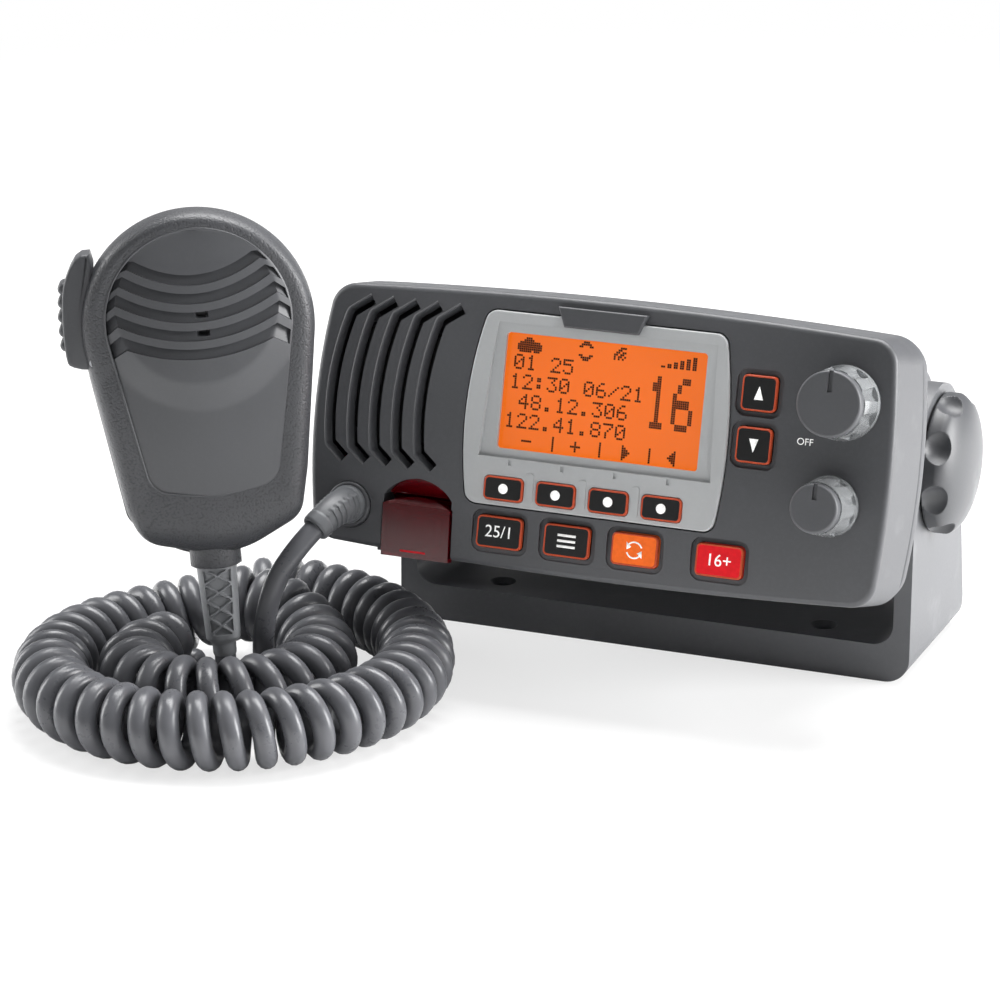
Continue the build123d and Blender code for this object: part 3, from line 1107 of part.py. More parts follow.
# ================================================================ cord socket and its elbow boot
SOCKET_SEAT_N = crown_at(SOCKET_AT[1]) - SOCKET_SINK
with BuildPart() as mic_cord_socket:
    with BuildSketch(face_plane.offset(SOCKET_SEAT_N)):
        with Locations(SOCKET_AT):
            Circle(SOCKET_FLANGE_RADIUS)
    extrude(amount=SOCKET_FLANGE_THICKNESS)
    fillet(mic_cord_socket.faces().sort_by(face_axis)[-1].edges(), SOCKET_FILLET)
    with BuildSketch(face_plane.offset(WALL_INNER_N - SOCKET_NECK_DEPTH)):
        with Locations(SOCKET_AT):
            Circle(SOCKET_FLANGE_RADIUS - SOCKET_NECK_INSET)
    extrude(amount=SOCKET_SEAT_N - WALL_INNER_N + SOCKET_NECK_DEPTH)
finish(mic_cord_socket.part, "mic_cord_socket")


def rounded_path(points):
    """A route of straight runs joined by tangent arcs, each as large as its runs allow."""
    vectors = [Vector(*point) for point in points]
    radii = []
    for before, here, after in zip(vectors, vectors[1:], vectors[2:]):
        half_turn = radians((here - before).get_angle(after - here)) / 2
        shorter = min((here - before).length, (after - here).length)
        radii.append(0.45 * shorter / tan(half_turn))
    with BuildLine() as route:
        FilletPolyline(*points, radius=radii)
    return route.wires()[0], radii


def round_tube(path, radius):
    """A round bar along a path."""
    start = Plane(origin=path @ 0, z_dir=path % 0)
    with BuildPart() as tube:
        with BuildSketch(start):
            Circle(radius)
        sweep(path=path)
    return tube.part


BOOT_ROOT_N = SOCKET_SEAT_N + SOCKET_FLANGE_THICKNESS
BOOT_END = Vector(*ELBOW_END)
boot_root = face_plane.offset(BOOT_ROOT_N).from_local_coords(Vector(*SOCKET_AT, 0))
boot_knee = face_plane.offset(BOOT_ROOT_N + ELBOW_REACH).from_local_coords(Vector(*SOCKET_AT, 0))
boot_line, boot_radii = rounded_path([tuple(boot_root), tuple(boot_knee), tuple(BOOT_END)])
with BuildPart() as radio_strain_relief:
    with BuildSketch(Plane(origin=boot_line @ 0, z_dir=boot_line % 0)):
        Circle(ELBOW_ROOT_RADIUS)
    with BuildSketch(Plane(origin=boot_line @ 1, z_dir=boot_line % 1)):
        Circle(ELBOW_TIP_RADIUS)
    sweep(path=boot_line, multisection=True)
    # cross grooves down both flanks
    for index in range(ELBOW_RIBS):
        place = ELBOW_RIB_FIRST + index * ELBOW_RIB_PITCH
        flank_radius = ELBOW_ROOT_RADIUS + place * (ELBOW_TIP_RADIUS - ELBOW_ROOT_RADIUS)
        with BuildSketch(Plane(origin=boot_line @ place, x_dir=(1, 0, 0), z_dir=boot_line % place)):
            with GridLocations(2 * (flank_radius + ELBOW_RIB_DEPTH), 0, 2, 1):
                Rectangle(4 * ELBOW_RIB_DEPTH, ELBOW_TIP_RADIUS)
        extrude(amount=ELBOW_RIB_WIDTH / 2, both=True, mode=Mode.SUBTRACT)
    # thick ring at the cord's end
    with BuildSketch(Plane(origin=boot_line @ 1, z_dir=boot_line % 1)):
        Circle(ELBOW_RING_RADIUS)
    extrude(amount=-ELBOW_RING_LENGTH)
finish(radio_strain_relief.part, "radio_strain_relief")

# ================================================================ microphone
azimuth, pitch, roll = radians(MIC_AZIMUTH), radians(MIC_PITCH), radians(MIC_ROLL)
mic_normal = Vector(sin(azimuth) * cos(pitch), -cos(azimuth) * cos(pitch), sin(pitch))
mic_level = Vector(cos(azimuth), sin(azimuth), 0)
mic_upright = mic_normal.cross(mic_level)
mic_right = mic_level * cos(roll) + mic_upright * sin(roll)
mic_plane = Plane(origin=MIC_FOOT, x_dir=mic_right, z_dir=mic_normal)
mic_side = Plane(origin=MIC_FOOT, x_dir=mic_plane.y_dir, z_dir=mic_right)
mic_axis = Axis(MIC_FOOT, mic_normal)
MIC_BOTTOM = BOOT_LENGTH
MIC_TOP = MIC_BOTTOM + MIC_HEIGHT
MIC_SHOULDER = MIC_TOP - MIC_TOP_RADIUS
MIC_CENTRE = MIC_BOTTOM + MIC_HEIGHT * 0.55
MIC_SCREWS = [(-MIC_SCREW_U, MIC_BOTTOM + MIC_SCREW_FOOT), (MIC_SCREW_U, MIC_BOTTOM + MIC_SCREW_FOOT),
              (0, MIC_TOP - MIC_SCREW_TOP)]
boot_plane = Plane(origin=MIC_FOOT, x_dir=mic_right, z_dir=mic_plane.y_dir)


def hull_outline(circles):
    """The outline stretched round a set of circles given as u, v and radius."""
    with BuildSketch() as outline:
        with BuildLine():
            for u, v, radius in circles:
                CenterArc((u, v), radius, 0, 360)
        make_hull()
    return outline.sketch


def pear_outline(shrink):
    """The microphone's outline: a round top narrowing to a full, round foot."""
    corner_v = MIC_BOTTOM + MIC_FOOT_RADIUS - 9
    return hull_outline([(0, MIC_SHOULDER, MIC_TOP_RADIUS - shrink),
                         (0, MIC_BOTTOM + MIC_FOOT_RADIUS + 0.5, MIC_FOOT_RADIUS - shrink),
                         (-MIC_CORNER_U, corner_v, MIC_CORNER_RADIUS - shrink),
                         (MIC_CORNER_U, corner_v, MIC_CORNER_RADIUS - shrink)])


def panel_outline():
    """The smooth panel set in the front of the microphone."""
    foot = MIC_BOTTOM + PANEL_FOOT
    return hull_outline([(0, MIC_SHOULDER + PANEL_TOP_LIFT, MIC_TOP_RADIUS - PANEL_TOP_INSET),
                         (-PANEL_FOOT_U, foot, PANEL_FOOT_CORNER), (PANEL_FOOT_U, foot, PANEL_FOOT_CORNER),
                         (0, foot + PANEL_FOOT_BULGE, PANEL_FOOT_RADIUS)])


def dome(height, side):
    """A doubly curved cushion that rounds a shell's broad face; side is 1 in front, -1 behind."""
    with BuildPart() as cushion:
        with BuildSketch(boot_plane):
            with Locations((0, side * (MIC_SIDE_RADIUS - height))):
                Circle(MIC_SIDE_RADIUS)
        extrude(amount=FAR + 20)
        with BuildSketch(mic_side.offset(-FAR / 2)):
            with Locations((MIC_CENTRE, side * (height - MIC_END_RADIUS))):
                Circle(MIC_END_RADIUS)
        extrude(amount=FAR, mode=Mode.INTERSECT)
    return cushion.part


PTT_BOTTOM = MIC_BOTTOM + PTT_FOOT
PTT_TOP = PTT_BOTTOM + PTT_LENGTH
PTT_OUTER = MIC_TOP_RADIUS + PTT_REACH
PTT_INNER = MIC_TOP_RADIUS - PTT_INSET
PTT_PIN_AT = (-MIC_TOP_RADIUS + PTT_PIN_INSET, PTT_BOTTOM + PTT_PIN_LIFT)


def shell_half(side):
    """One half of the microphone's hollow case, with its screw posts and the lever's slot."""
    slot_low, slot_high = PTT_BOTTOM - 0.9, PTT_TOP + 2.0
    with BuildPart() as hollow:
        with BuildSketch(mic_plane):
            add(pear_outline(MIC_SHELL))
        extrude(amount=side * (MIC_DEPTH + 4))
        add(dome(MIC_DEPTH - MIC_SHELL, side), mode=Mode.INTERSECT)
    with BuildPart() as posts:
        with BuildSketch(mic_plane):
            with Locations(*MIC_SCREWS):
                Circle(MIC_SCREW_RADIUS + MIC_SCREW_POST_WALL)
        extrude(amount=side * MIC_DEPTH)
        with BuildSketch(mic_plane.offset(side * (PTT_HALF_DEPTH + PTT_GAP))):
            with Locations(PTT_PIN_AT):
                Circle(PTT_PIN_RADIUS + 2.0)
        extrude(amount=side * 6)
        add(hollow.part, mode=Mode.INTERSECT)
    with BuildPart() as half:
        with BuildSketch(mic_plane):
            add(pear_outline(0))
        extrude(amount=side * (MIC_DEPTH + 4))
        add(dome(MIC_DEPTH, side), mode=Mode.INTERSECT)
        fillet(half.faces().sort_by(Axis(MIC_FOOT, mic_normal * side))[-1].edges(), MIC_EDGE_FILLET)
        # neck round the root of the boot
        with BuildSketch(boot_plane.offset(MIC_BOTTOM - MIC_BOOT_SEAT)):
            Circle(BOOT_TOP_RADIUS + MIC_NECK_WALL)
            with Locations((0, side * (BOOT_TOP_RADIUS + 2))):
                Rectangle(3 * BOOT_TOP_RADIUS, 2 * BOOT_TOP_RADIUS + 4, mode=Mode.SUBTRACT)
        extrude(amount=MIC_NECK_LENGTH)
        add(hollow.part, mode=Mode.SUBTRACT)
        add(posts.part)
        with BuildSketch(boot_plane.offset(MIC_BOTTOM - 3)):
            Circle(BOOT_TOP_RADIUS)
        extrude(amount=9, mode=Mode.SUBTRACT)
        with BuildSketch(mic_plane):
            with Locations((-PTT_INNER + 1.4 - FAR / 6, (slot_low + slot_high) / 2)):
                Rectangle(FAR / 3, slot_high - slot_low)
        extrude(amount=side * (PTT_HALF_DEPTH + PTT_GAP), mode=Mode.SUBTRACT)
        with BuildSketch(mic_plane):
            with Locations(PTT_PIN_AT):
                Circle(PTT_PIN_RADIUS)
        extrude(amount=side * PTT_PIN_HALF, mode=Mode.SUBTRACT)
        with BuildSketch(mic_plane):
            with Locations(*MIC_SCREWS):
                Circle(MIC_SCREW_RADIUS)
        extrude(amount=side * (MIC_FRONT_SCREW_DEPTH if side > 0 else 2 * MIC_DEPTH), mode=Mode.SUBTRACT)
    return half.part


with BuildPart() as mic_front_shell:
    add(shell_half(1))
    with BuildPart(mode=Mode.PRIVATE) as panel:
        with BuildSketch(mic_plane.offset(MIC_DEPTH - 6.5)):
            add(panel_outline())
        extrude(amount=12)
        add(dome(MIC_DEPTH + PANEL_RAISE, 1), mode=Mode.INTERSECT)
        add(dome(MIC_DEPTH - PANEL_UNDERCUT, 1), mode=Mode.SUBTRACT)
    add(panel.part)
    # five smile-shaped louvres inside a circle, and two sound holes
    with BuildPart(mode=Mode.PRIVATE) as louvre_cut:
        for index in range(LOUVRES):
            v = MIC_SHOULDER + LOUVRE_TOP - index * LOUVRE_PITCH
            with BuildSketch(mic_plane.offset(0)):
                with BuildLine() as smile:
                    ThreePointArc((-LOUVRE_HALF_SPAN, v + LOUVRE_SMILE), (0, v),
                                  (LOUVRE_HALF_SPAN, v + LOUVRE_SMILE))
                trace(lines=smile.line, line_width=LOUVRE_WIDTH)
                with Locations((0, MIC_SHOULDER + PANEL_TOP_LIFT)):
                    Circle(MIC_TOP_RADIUS - LOUVRE_FIELD_INSET, mode=Mode.INTERSECT)
            extrude(amount=MIC_DEPTH + 4)
        add(dome(MIC_DEPTH + PANEL_RAISE - LOUVRE_DEPTH, 1), mode=Mode.SUBTRACT)
    add(louvre_cut.part, mode=Mode.SUBTRACT)
    with BuildSketch(mic_plane.offset(5)):
        with Locations((0, MIC_SHOULDER + 7.0), (0, MIC_SHOULDER + 2.0)):
            SlotOverall(SOUND_HOLE_LENGTH, SOUND_HOLE_WIDTH)
    extrude(amount=MIC_DEPTH, mode=Mode.SUBTRACT)
finish(mic_front_shell.part, "mic_front_shell")

with BuildPart() as mic_back_shell:
    add(shell_half(-1))
    # sinks for the screw heads, posts for the board, seat of the hanger stud
    with BuildSketch(mic_plane.offset(-MIC_DEPTH + MIC_SCREW_SINK)):
        with Locations(*MIC_SCREWS):
            Circle(MIC_SCREW_RADIUS + MIC_SCREW_HEAD_WALL)
    extrude(amount=-MIC_DEPTH, mode=Mode.SUBTRACT)
    with BuildSketch(mic_plane.offset(MIC_BOARD_DEPTH - BOARD_THICKNESS)):
        with Locations(*[(u, MIC_BOTTOM + lift) for u, lift in MIC_BOARD_POSTS]):
            Circle(MIC_BOARD_POST_RADIUS)
    extrude(amount=-(MIC_DEPTH - 5.6 - 1.6 + MIC_BOARD_DEPTH + 4))
    with BuildSketch(mic_plane.offset(-MIC_DEPTH + MIC_SHELL)):
        with Locations((0, MIC_CENTRE)):
            Circle(HANGER_SEAT_RADIUS)
    extrude(amount=-MIC_SHELL - HANGER_SEAT_DEPTH)
finish(mic_back_shell.part, "mic_back_shell")

HANGER_FOOT = -MIC_DEPTH - HANGER_SEAT_DEPTH
with BuildPart() as mic_hanger_stud:
    with BuildSketch(mic_plane.offset(HANGER_FOOT)):
        with Locations((0, MIC_CENTRE)):
            Circle(HANGER_NECK_RADIUS)
    extrude(amount=-HANGER_NECK_LENGTH)
    with BuildSketch(mic_plane.offset(HANGER_FOOT - HANGER_NECK_LENGTH)):
        with Locations((0, MIC_CENTRE)):
            Circle(HANGER_BUTTON_RADIUS)
    extrude(amount=-HANGER_BUTTON_THICKNESS)
    chamfer(mic_hanger_stud.edges().sort_by(mic_axis)[0], HANGER_BUTTON_THICKNESS / 4)
finish(mic_hanger_stud.part, "mic_hanger_stud")

with BuildPart() as mic_screws:
    with BuildSketch(mic_plane.offset(MIC_FRONT_SCREW_DEPTH)):
        with Locations(*MIC_SCREWS):
            Circle(MIC_SCREW_RADIUS)
    extrude(amount=-MIC_FRONT_SCREW_DEPTH - MIC_DEPTH + MIC_SCREW_SINK)
    with BuildSketch(mic_plane.offset(-MIC_DEPTH + MIC_SCREW_SINK)):
        with Locations(*MIC_SCREWS):
            Circle(MIC_SCREW_RADIUS + MIC_SCREW_HEAD_WALL)
    extrude(amount=-MIC_SCREW_HEAD_HEIGHT)
    with BuildSketch(mic_plane.offset(-MIC_DEPTH + MIC_SCREW_SINK - MIC_SCREW_HEAD_HEIGHT)):
        with Locations(*MIC_SCREWS):
            Rectangle(*MIC_SCREW_CROSS)
            Rectangle(*reversed(MIC_SCREW_CROSS))
    extrude(amount=1.0, mode=Mode.SUBTRACT)
finish(mic_screws.part, "mic_screws")

# ---------------------------------------------------------------- push-to-talk lever
with BuildPart() as ptt_lever:
    with BuildSketch(mic_plane.offset(-PTT_HALF_DEPTH)) as lever_sketch:
        Polygon((-PTT_INNER - 0.6, PTT_BOTTOM), (-PTT_OUTER + 3.4, PTT_BOTTOM + 0.6),
                (-PTT_OUTER + 0.4, PTT_BOTTOM + 5), (-PTT_OUTER, PTT_BOTTOM + 17),
                (-PTT_OUTER + 2.2, PTT_BOTTOM + 26), (-PTT_OUTER + 8, PTT_TOP),
                (-PTT_INNER - 3.6, PTT_TOP), (-PTT_INNER, PTT_BOTTOM + 25),
                (-PTT_INNER, PTT_BOTTOM + 4), align=None)
        fillet(lever_sketch.vertices(), PTT_CORNER)
    extrude(amount=2 * PTT_HALF_DEPTH)
    # thumb ribs
    with BuildSketch(mic_plane.offset(-PTT_HALF_DEPTH + PTT_RIB_END)):
        for index in range(PTT_RIBS):
            with Locations((-PTT_OUTER + 0.1, PTT_BOTTOM + PTT_RIB_FIRST + PTT_RIB_PITCH * index)):
                Circle(PTT_RIB_RADIUS)
    extrude(amount=2 * (PTT_HALF_DEPTH - PTT_RIB_END), mode=Mode.SUBTRACT)
    # nose that presses the switch
    with BuildSketch(mic_plane.offset(-3.0)):
        with Locations(((SWITCH_FACE - SWITCH_GAP - PTT_INNER - 1.0) / 2, PTT_BOTTOM + PTT_NOSE_LIFT)):
            Rectangle(PTT_INNER + 1.0 + SWITCH_FACE - SWITCH_GAP, PTT_NOSE_WIDTH)
    extrude(amount=PTT_NOSE_WIDTH)
    with BuildSketch(mic_plane.offset(-PTT_HALF_DEPTH)):
        with Locations(PTT_PIN_AT):
            Circle(PTT_PIN_RADIUS + 0.05)
    extrude(amount=2 * PTT_HALF_DEPTH, mode=Mode.SUBTRACT)
finish(ptt_lever.part, "ptt_lever")

with BuildPart() as ptt_pin:
    with BuildSketch(mic_plane.offset(-PTT_PIN_HALF)):
        with Locations(PTT_PIN_AT):
            Circle(PTT_PIN_RADIUS)
    extrude(amount=2 * PTT_PIN_HALF)
finish(ptt_pin.part, "ptt_pin")

# ---------------------------------------------------------------- microphone inside
with BuildPart() as mic_circuit_board:
    with BuildSketch(mic_plane.offset(MIC_BOARD_DEPTH - BOARD_THICKNESS)):
        with Locations((MIC_BOARD_AT[0], MIC_BOTTOM + MIC_BOARD_AT[1])):
            Rectangle(*MIC_BOARD_SIZE)
    extrude(amount=BOARD_THICKNESS)
finish(mic_circuit_board.part, "mic_circuit_board")

with BuildPart() as ptt_switch:
    with BuildSketch(mic_plane.offset(MIC_BOARD_DEPTH)):
        with Locations((SWITCH_FACE + 1.5 + SWITCH_SIZE[0] / 2, PTT_BOTTOM + PTT_NOSE_LIFT)):
            Rectangle(*SWITCH_SIZE)
    extrude(amount=SWITCH_HEIGHT)
    with BuildSketch(mic_plane.offset(MIC_BOARD_DEPTH + SWITCH_PLUNGER_LIFT)):
        with Locations((SWITCH_FACE + SWITCH_PLUNGER[0] / 2, PTT_BOTTOM + PTT_NOSE_LIFT)):
            Rectangle(*SWITCH_PLUNGER)
    extrude(amount=SWITCH_PLUNGER_HEIGHT)
finish(ptt_switch.part, "ptt_switch")

with BuildPart() as mic_capsule:
    with BuildSketch(mic_plane.offset(MIC_BOARD_DEPTH)):
        with Locations((0, MIC_SHOULDER + CAPSULE_LIFT)):
            Circle(CAPSULE_RADIUS)
    extrude(amount=MIC_DEPTH - MIC_SHELL - 1.6 - MIC_BOARD_DEPTH)
finish(mic_capsule.part, "mic_capsule")

with BuildPart() as mic_strain_relief:
    with BuildSketch(boot_plane):
        Circle(BOOT_END_RADIUS)
    with BuildSketch(boot_plane.offset(MIC_BOTTOM - MIC_BOOT_SEAT)):
        Circle(BOOT_TOP_RADIUS)
    loft()
    with BuildSketch(boot_plane.offset(MIC_BOTTOM - MIC_BOOT_SEAT)):
        Circle(BOOT_TOP_RADIUS)
    extrude(amount=5.5)
    with BuildSketch(boot_plane.offset(MIC_BOTTOM + 3.1)):
        Circle(BOOT_TOP_RADIUS - 0.6)
    extrude(amount=2.0)
    # a column of diamond windows in front and behind
    for side in (1, -1):
        with BuildSketch(mic_plane.offset(side * (BOOT_END_RADIUS - LATTICE_DEPTH))):
            for index in range(LATTICE_CELLS):
                middle = LATTICE_FOOT + LATTICE_PITCH * index
                Polygon((LATTICE_CELL_SIZE[0] / 2, middle), (0, middle + LATTICE_CELL_SIZE[1] / 2),
                        (-LATTICE_CELL_SIZE[0] / 2, middle), (0, middle - LATTICE_CELL_SIZE[1] / 2),
                        align=None)
        extrude(amount=side * BOOT_TOP_RADIUS, mode=Mode.SUBTRACT)
finish(mic_strain_relief.part, "mic_strain_relief")

# ================================================================ cord
def coil_point(turn):
    """A point of the coil's middle line; it runs clockwise and inwards, seen from above."""
    radius = COIL_START_RADIUS - COIL_STEP * min(turn, COIL_INNER_TURN)
    radius -= COIL_INNER_STEP * max(turn - COIL_INNER_TURN, 0)
    angle = radians(COIL_START_ANGLE - 360 * turn)
    away = (turn - HUMP_TURN) * 2 * pi * radius / HUMP_LENGTH
    lift = HUMP_HEIGHT * exp(-away ** 2)
    return (COIL_CENTRE[0] + radius * cos(angle), COIL_CENTRE[1] + radius * sin(angle),
            COIL_RADIUS + lift)


# the coil rises over the lead that runs out underneath it
coil_steps = round(COIL_TURNS * COIL_POINTS_PER_TURN)
coil_route = [coil_point(COIL_TURNS * step / coil_steps) for step in range(coil_steps + 1)]
coil_line, coil_radii = rounded_path(coil_route)
curly_cord = round_tube(coil_line, COIL_RADIUS)
finish(curly_cord, "curly_cord")

# from the head's boot down to the floor, outwards below the coil's second arm, into its first turn
leaving = boot_line % 1
lead_start = [tuple(BOOT_END + leaving * 0.02), tuple(BOOT_END + leaving * 8.0)]
radio_lead_line, radio_lead_radii = rounded_path(lead_start + RADIO_LEAD_ROUTE)
radio_lead = round_tube(radio_lead_line, WIRE_RADIUS)
finish(radio_lead, "radio_lead")

# from inside the microphone's boot down to the floor and into the coil's inner end
inside_boot = mic_plane.from_local_coords(Vector(0, 10.0, 0))
below_boot = mic_plane.from_local_coords(Vector(0, -10.4, 0))
mic_lead_line, mic_lead_radii = rounded_path([tuple(inside_boot), tuple(below_boot), MIC_LEAD_END])
mic_lead = round_tube(mic_lead_line, WIRE_RADIUS)
finish(mic_lead, "mic_lead")

for cord_name, line, radii, section, tube in (
        ("curly_cord", coil_line, coil_radii, COIL_RADIUS, curly_cord),
        ("radio_lead", radio_lead_line, radio_lead_radii, WIRE_RADIUS, radio_lead),
        ("mic_lead", mic_lead_line, mic_lead_radii, WIRE_RADIUS, mic_lead)):
    share = tube.volume / (pi * section ** 2 * line.length)
    print(cord_name, "length", round(line.length, 1), "volume share", round(share, 4),
          "bend radii", [round(radius, 1) for radius in radii])
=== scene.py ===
"""A fixed-mount VHF marine radio in its gimbal bracket, with its fist microphone and curly cord.

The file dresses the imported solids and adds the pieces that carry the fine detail. Sizes inside the classes
are millimetres in a sub-assembly's own axes; everything is handed to Blender in metres in the row frame.
"""
from __future__ import annotations

import logging
from dataclasses import dataclass, field
from enum import Enum
from functools import cache, reduce
from math import cos, pi, radians, sin
from operator import add

import bpy
import numpy as np
from mathutils import Matrix, Vector


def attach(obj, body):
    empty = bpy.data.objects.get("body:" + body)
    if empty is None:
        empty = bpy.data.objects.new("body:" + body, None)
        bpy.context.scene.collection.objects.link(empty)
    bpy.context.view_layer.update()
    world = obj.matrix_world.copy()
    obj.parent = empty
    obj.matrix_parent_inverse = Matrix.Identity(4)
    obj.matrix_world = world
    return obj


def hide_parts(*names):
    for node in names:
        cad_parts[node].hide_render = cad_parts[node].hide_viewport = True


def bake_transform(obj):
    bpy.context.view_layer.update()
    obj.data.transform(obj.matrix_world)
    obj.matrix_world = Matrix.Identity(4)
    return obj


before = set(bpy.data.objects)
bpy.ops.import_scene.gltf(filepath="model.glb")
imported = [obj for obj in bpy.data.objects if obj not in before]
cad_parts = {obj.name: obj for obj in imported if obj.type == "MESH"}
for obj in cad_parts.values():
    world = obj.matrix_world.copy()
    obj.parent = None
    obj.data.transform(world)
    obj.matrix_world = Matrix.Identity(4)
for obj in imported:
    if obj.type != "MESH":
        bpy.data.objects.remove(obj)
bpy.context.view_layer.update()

LOG = logging.getLogger("marine_radio")
MM = 0.001
ROOT = "bracket_and_microphone"
HEAD = "head"
GIMBAL_AXIS = (0.0, -4.5, 58.0)
MICROPHONE_FOOT = (-92.0, -110.0, 14.0)


# ================================================================ axes and shapes
@dataclass(frozen=True)
class Axes:
    """Where a sub-assembly stands, in millimetres, and its right, up and outward directions."""

    origin: tuple[float, float, float]
    right: tuple[float, float, float]
    up: tuple[float, float, float]
    out: tuple[float, float, float]

    def place(self, points: np.ndarray) -> np.ndarray:
        """Return local millimetre points (..., 3) in the row frame, in metres."""
        return (np.array(self.origin) + points @ np.array([self.right, self.up, self.out])) * MM

    def matrix(self, point: tuple[float, float, float]) -> Matrix:
        """Return the matrix that puts flat artwork at a local point, facing outwards.

        Args:
            point: where the artwork's origin goes, in millimetres.

        Returns:
            A 4 x 4 matrix in metres.
        """
        turn = Matrix([Vector(way) for way in (self.right, self.up, self.out)]).transposed().to_4x4()
        return Matrix.Translation(Vector(self.place(np.array(point)))) @ turn


def head_axes(tilt: float = 14.3) -> Axes:
    """Return the axes of the tilted head; its origin is the gimbal's axis.

    Args:
        tilt: how far the face leans back, in degrees.

    Returns:
        Axes whose right and up lie in the face and whose out is the face's normal.
    """
    s, c = sin(radians(tilt)), cos(radians(tilt))
    return Axes(GIMBAL_AXIS, (1.0, 0.0, 0.0), (0.0, s, c), (0.0, -c, s))


def microphone_axes(azimuth: float = 26.0, pitch: float = 7.0, roll: float = 4.2) -> Axes:
    """Return the axes of the standing microphone; its origin is the lower end of its boot.

    Args:
        azimuth: how far the front is turned from -Y towards +X, in degrees.
        pitch: how far the front looks upwards, in degrees.
        roll: how far the case leans sideways, in degrees.

    Returns:
        Axes with up running from the boot to the top of the case.
    """
    a, p, r = radians(azimuth), radians(pitch), radians(roll)
    normal = np.array([sin(a) * cos(p), -cos(a) * cos(p), sin(p)])
    level = np.array([cos(a), sin(a), 0.0])
    right = level * cos(r) + np.cross(normal, level) * sin(r)
    return Axes(MICROPHONE_FOOT, tuple(right), tuple(np.cross(normal, right)), tuple(normal))


@dataclass
class Shape:
    """Points in metres with the quads, triangles and larger flat faces that join them."""

    points: np.ndarray
    quads: np.ndarray = field(default_factory=lambda: np.zeros((0, 4), int))
    triangles: np.ndarray = field(default_factory=lambda: np.zeros((0, 3), int))
    flats: list[list[int]] = field(default_factory=list)

    def __add__(self, other: "Shape") -> "Shape":
        """Return both shapes as one.

        Args:
            other: the shape whose points come after this one's.

        Returns:
            A new shape.
        """
        shift = len(self.points)
        return Shape(np.concatenate([self.points, other.points]),
                     np.concatenate([self.quads, other.quads + shift]),
                     np.concatenate([self.triangles, other.triangles + shift]),
                     self.flats + [[i + shift for i in flat] for flat in other.flats])


def grid_quads(rows: int, columns: int, closed: bool) -> np.ndarray:
    """Return the quads of a grid of points.

    Args:
        rows: how many rows it has.
        columns: how many points a row has.
        closed: whether each row closes on itself.

    Returns:
        An array (count, 4) of point numbers.
    """
    index = np.arange(rows * columns).reshape(rows, columns)
    if closed:
        index = np.concatenate([index, index[:, :1]], axis=1)
    corners = [index[:-1, :-1], index[:-1, 1:], index[1:, 1:], index[1:, :-1]]
    return np.stack(corners, axis=-1).reshape(-1, 4)


def sheet_shape(grid: np.ndarray) -> Shape:
    """Return an open sheet; it faces along its columns' direction crossed with its rows'."""
    rows, columns = grid.shape[:2]
    return Shape(grid.reshape(-1, 3), grid_quads(rows, columns, False))


def ring_shape(grid: np.ndarray, close_start: bool = False, close_end: bool = False) -> Shape:
    """Return a shape whose rows are closed rings.

    Args:
        grid: points (rows, columns, 3) in metres.
        close_start: whether the first ring is closed by a fan about its middle.
        close_end: whether the last ring is.

    Returns:
        The shape, facing outwards when the rings run counter-clockwise about the rows' direction.
    """
    rows, columns = grid.shape[:2]
    points = [grid.reshape(-1, 3)]
    fans = []
    ring = np.arange(columns)
    for wanted, row, flip in ((close_start, 0, True), (close_end, rows - 1, False)):
        if wanted:
            middle = rows * columns + len(fans)
            points.append(grid[row].mean(axis=0, keepdims=True))
            first, second = ring + row * columns, np.roll(ring, -1) + row * columns
            pair = (second, first) if flip else (first, second)
            fans.append(np.stack([pair[0], pair[1], np.full(columns, middle)], axis=-1))
    triangles = np.concatenate(fans) if fans else np.zeros((0, 3), int)
    return Shape(np.concatenate(points), grid_quads(rows, columns, True), triangles)


def flat_shape(outlines: list[np.ndarray], lift: float, axes: Axes) -> Shape:
    """Return flat faces lying on a surface.

    Args:
        outlines: each face's corners (count, 2), counter-clockwise, in millimetres.
        lift: the height along the outward axis.
        axes: the axes that the outlines are drawn in.

    Returns:
        One shape with a face for each outline.
    """
    flats, points, start = [], [], 0
    for outline in outlines:
        points.append(np.column_stack([outline, np.full(len(outline), lift)]))
        flats.append(list(range(start, start + len(outline))))
        start += len(outline)
    return Shape(axes.place(np.concatenate(points)), flats=flats)


def bevelled(outline: np.ndarray, low: float, high: float, edge: float, axes: Axes) -> Shape:
    """Return an outline carried from one height to another, its two ends rounded off.

    Near each end the outline is drawn in along its normals by edge (1 - sqrt(1 - (1 - d / edge)^2)),
    d being the distance to the end.

    Args:
        outline: the corners (count, 2), counter-clockwise, in millimetres.
        low: the height of the lower end.
        high: the height of the upper end.
        edge: the radius of the rounding.
        axes: the axes that it is drawn in.

    Returns:
        A closed shape.
    """
    along = np.roll(outline, -1, axis=0) - np.roll(outline, 1, axis=0)
    normal = np.column_stack([along[:, 1], -along[:, 0]])
    normal /= np.maximum(np.linalg.norm(normal, axis=1, keepdims=True), 1e-9)
    turn = np.radians(np.array([0, 22, 45, 68, 90]))
    levels = np.concatenate([low + edge * (1 - np.cos(turn)), high - edge * (1 - np.cos(turn[::-1]))])
    insets = edge * np.concatenate([1 - np.sin(turn), 1 - np.sin(turn[::-1])])
    rows = [np.column_stack([outline - normal * inset, np.full(len(outline), level)])
            for level, inset in zip(levels, insets)]
    return ring_shape(axes.place(np.array(rows)), True, True)


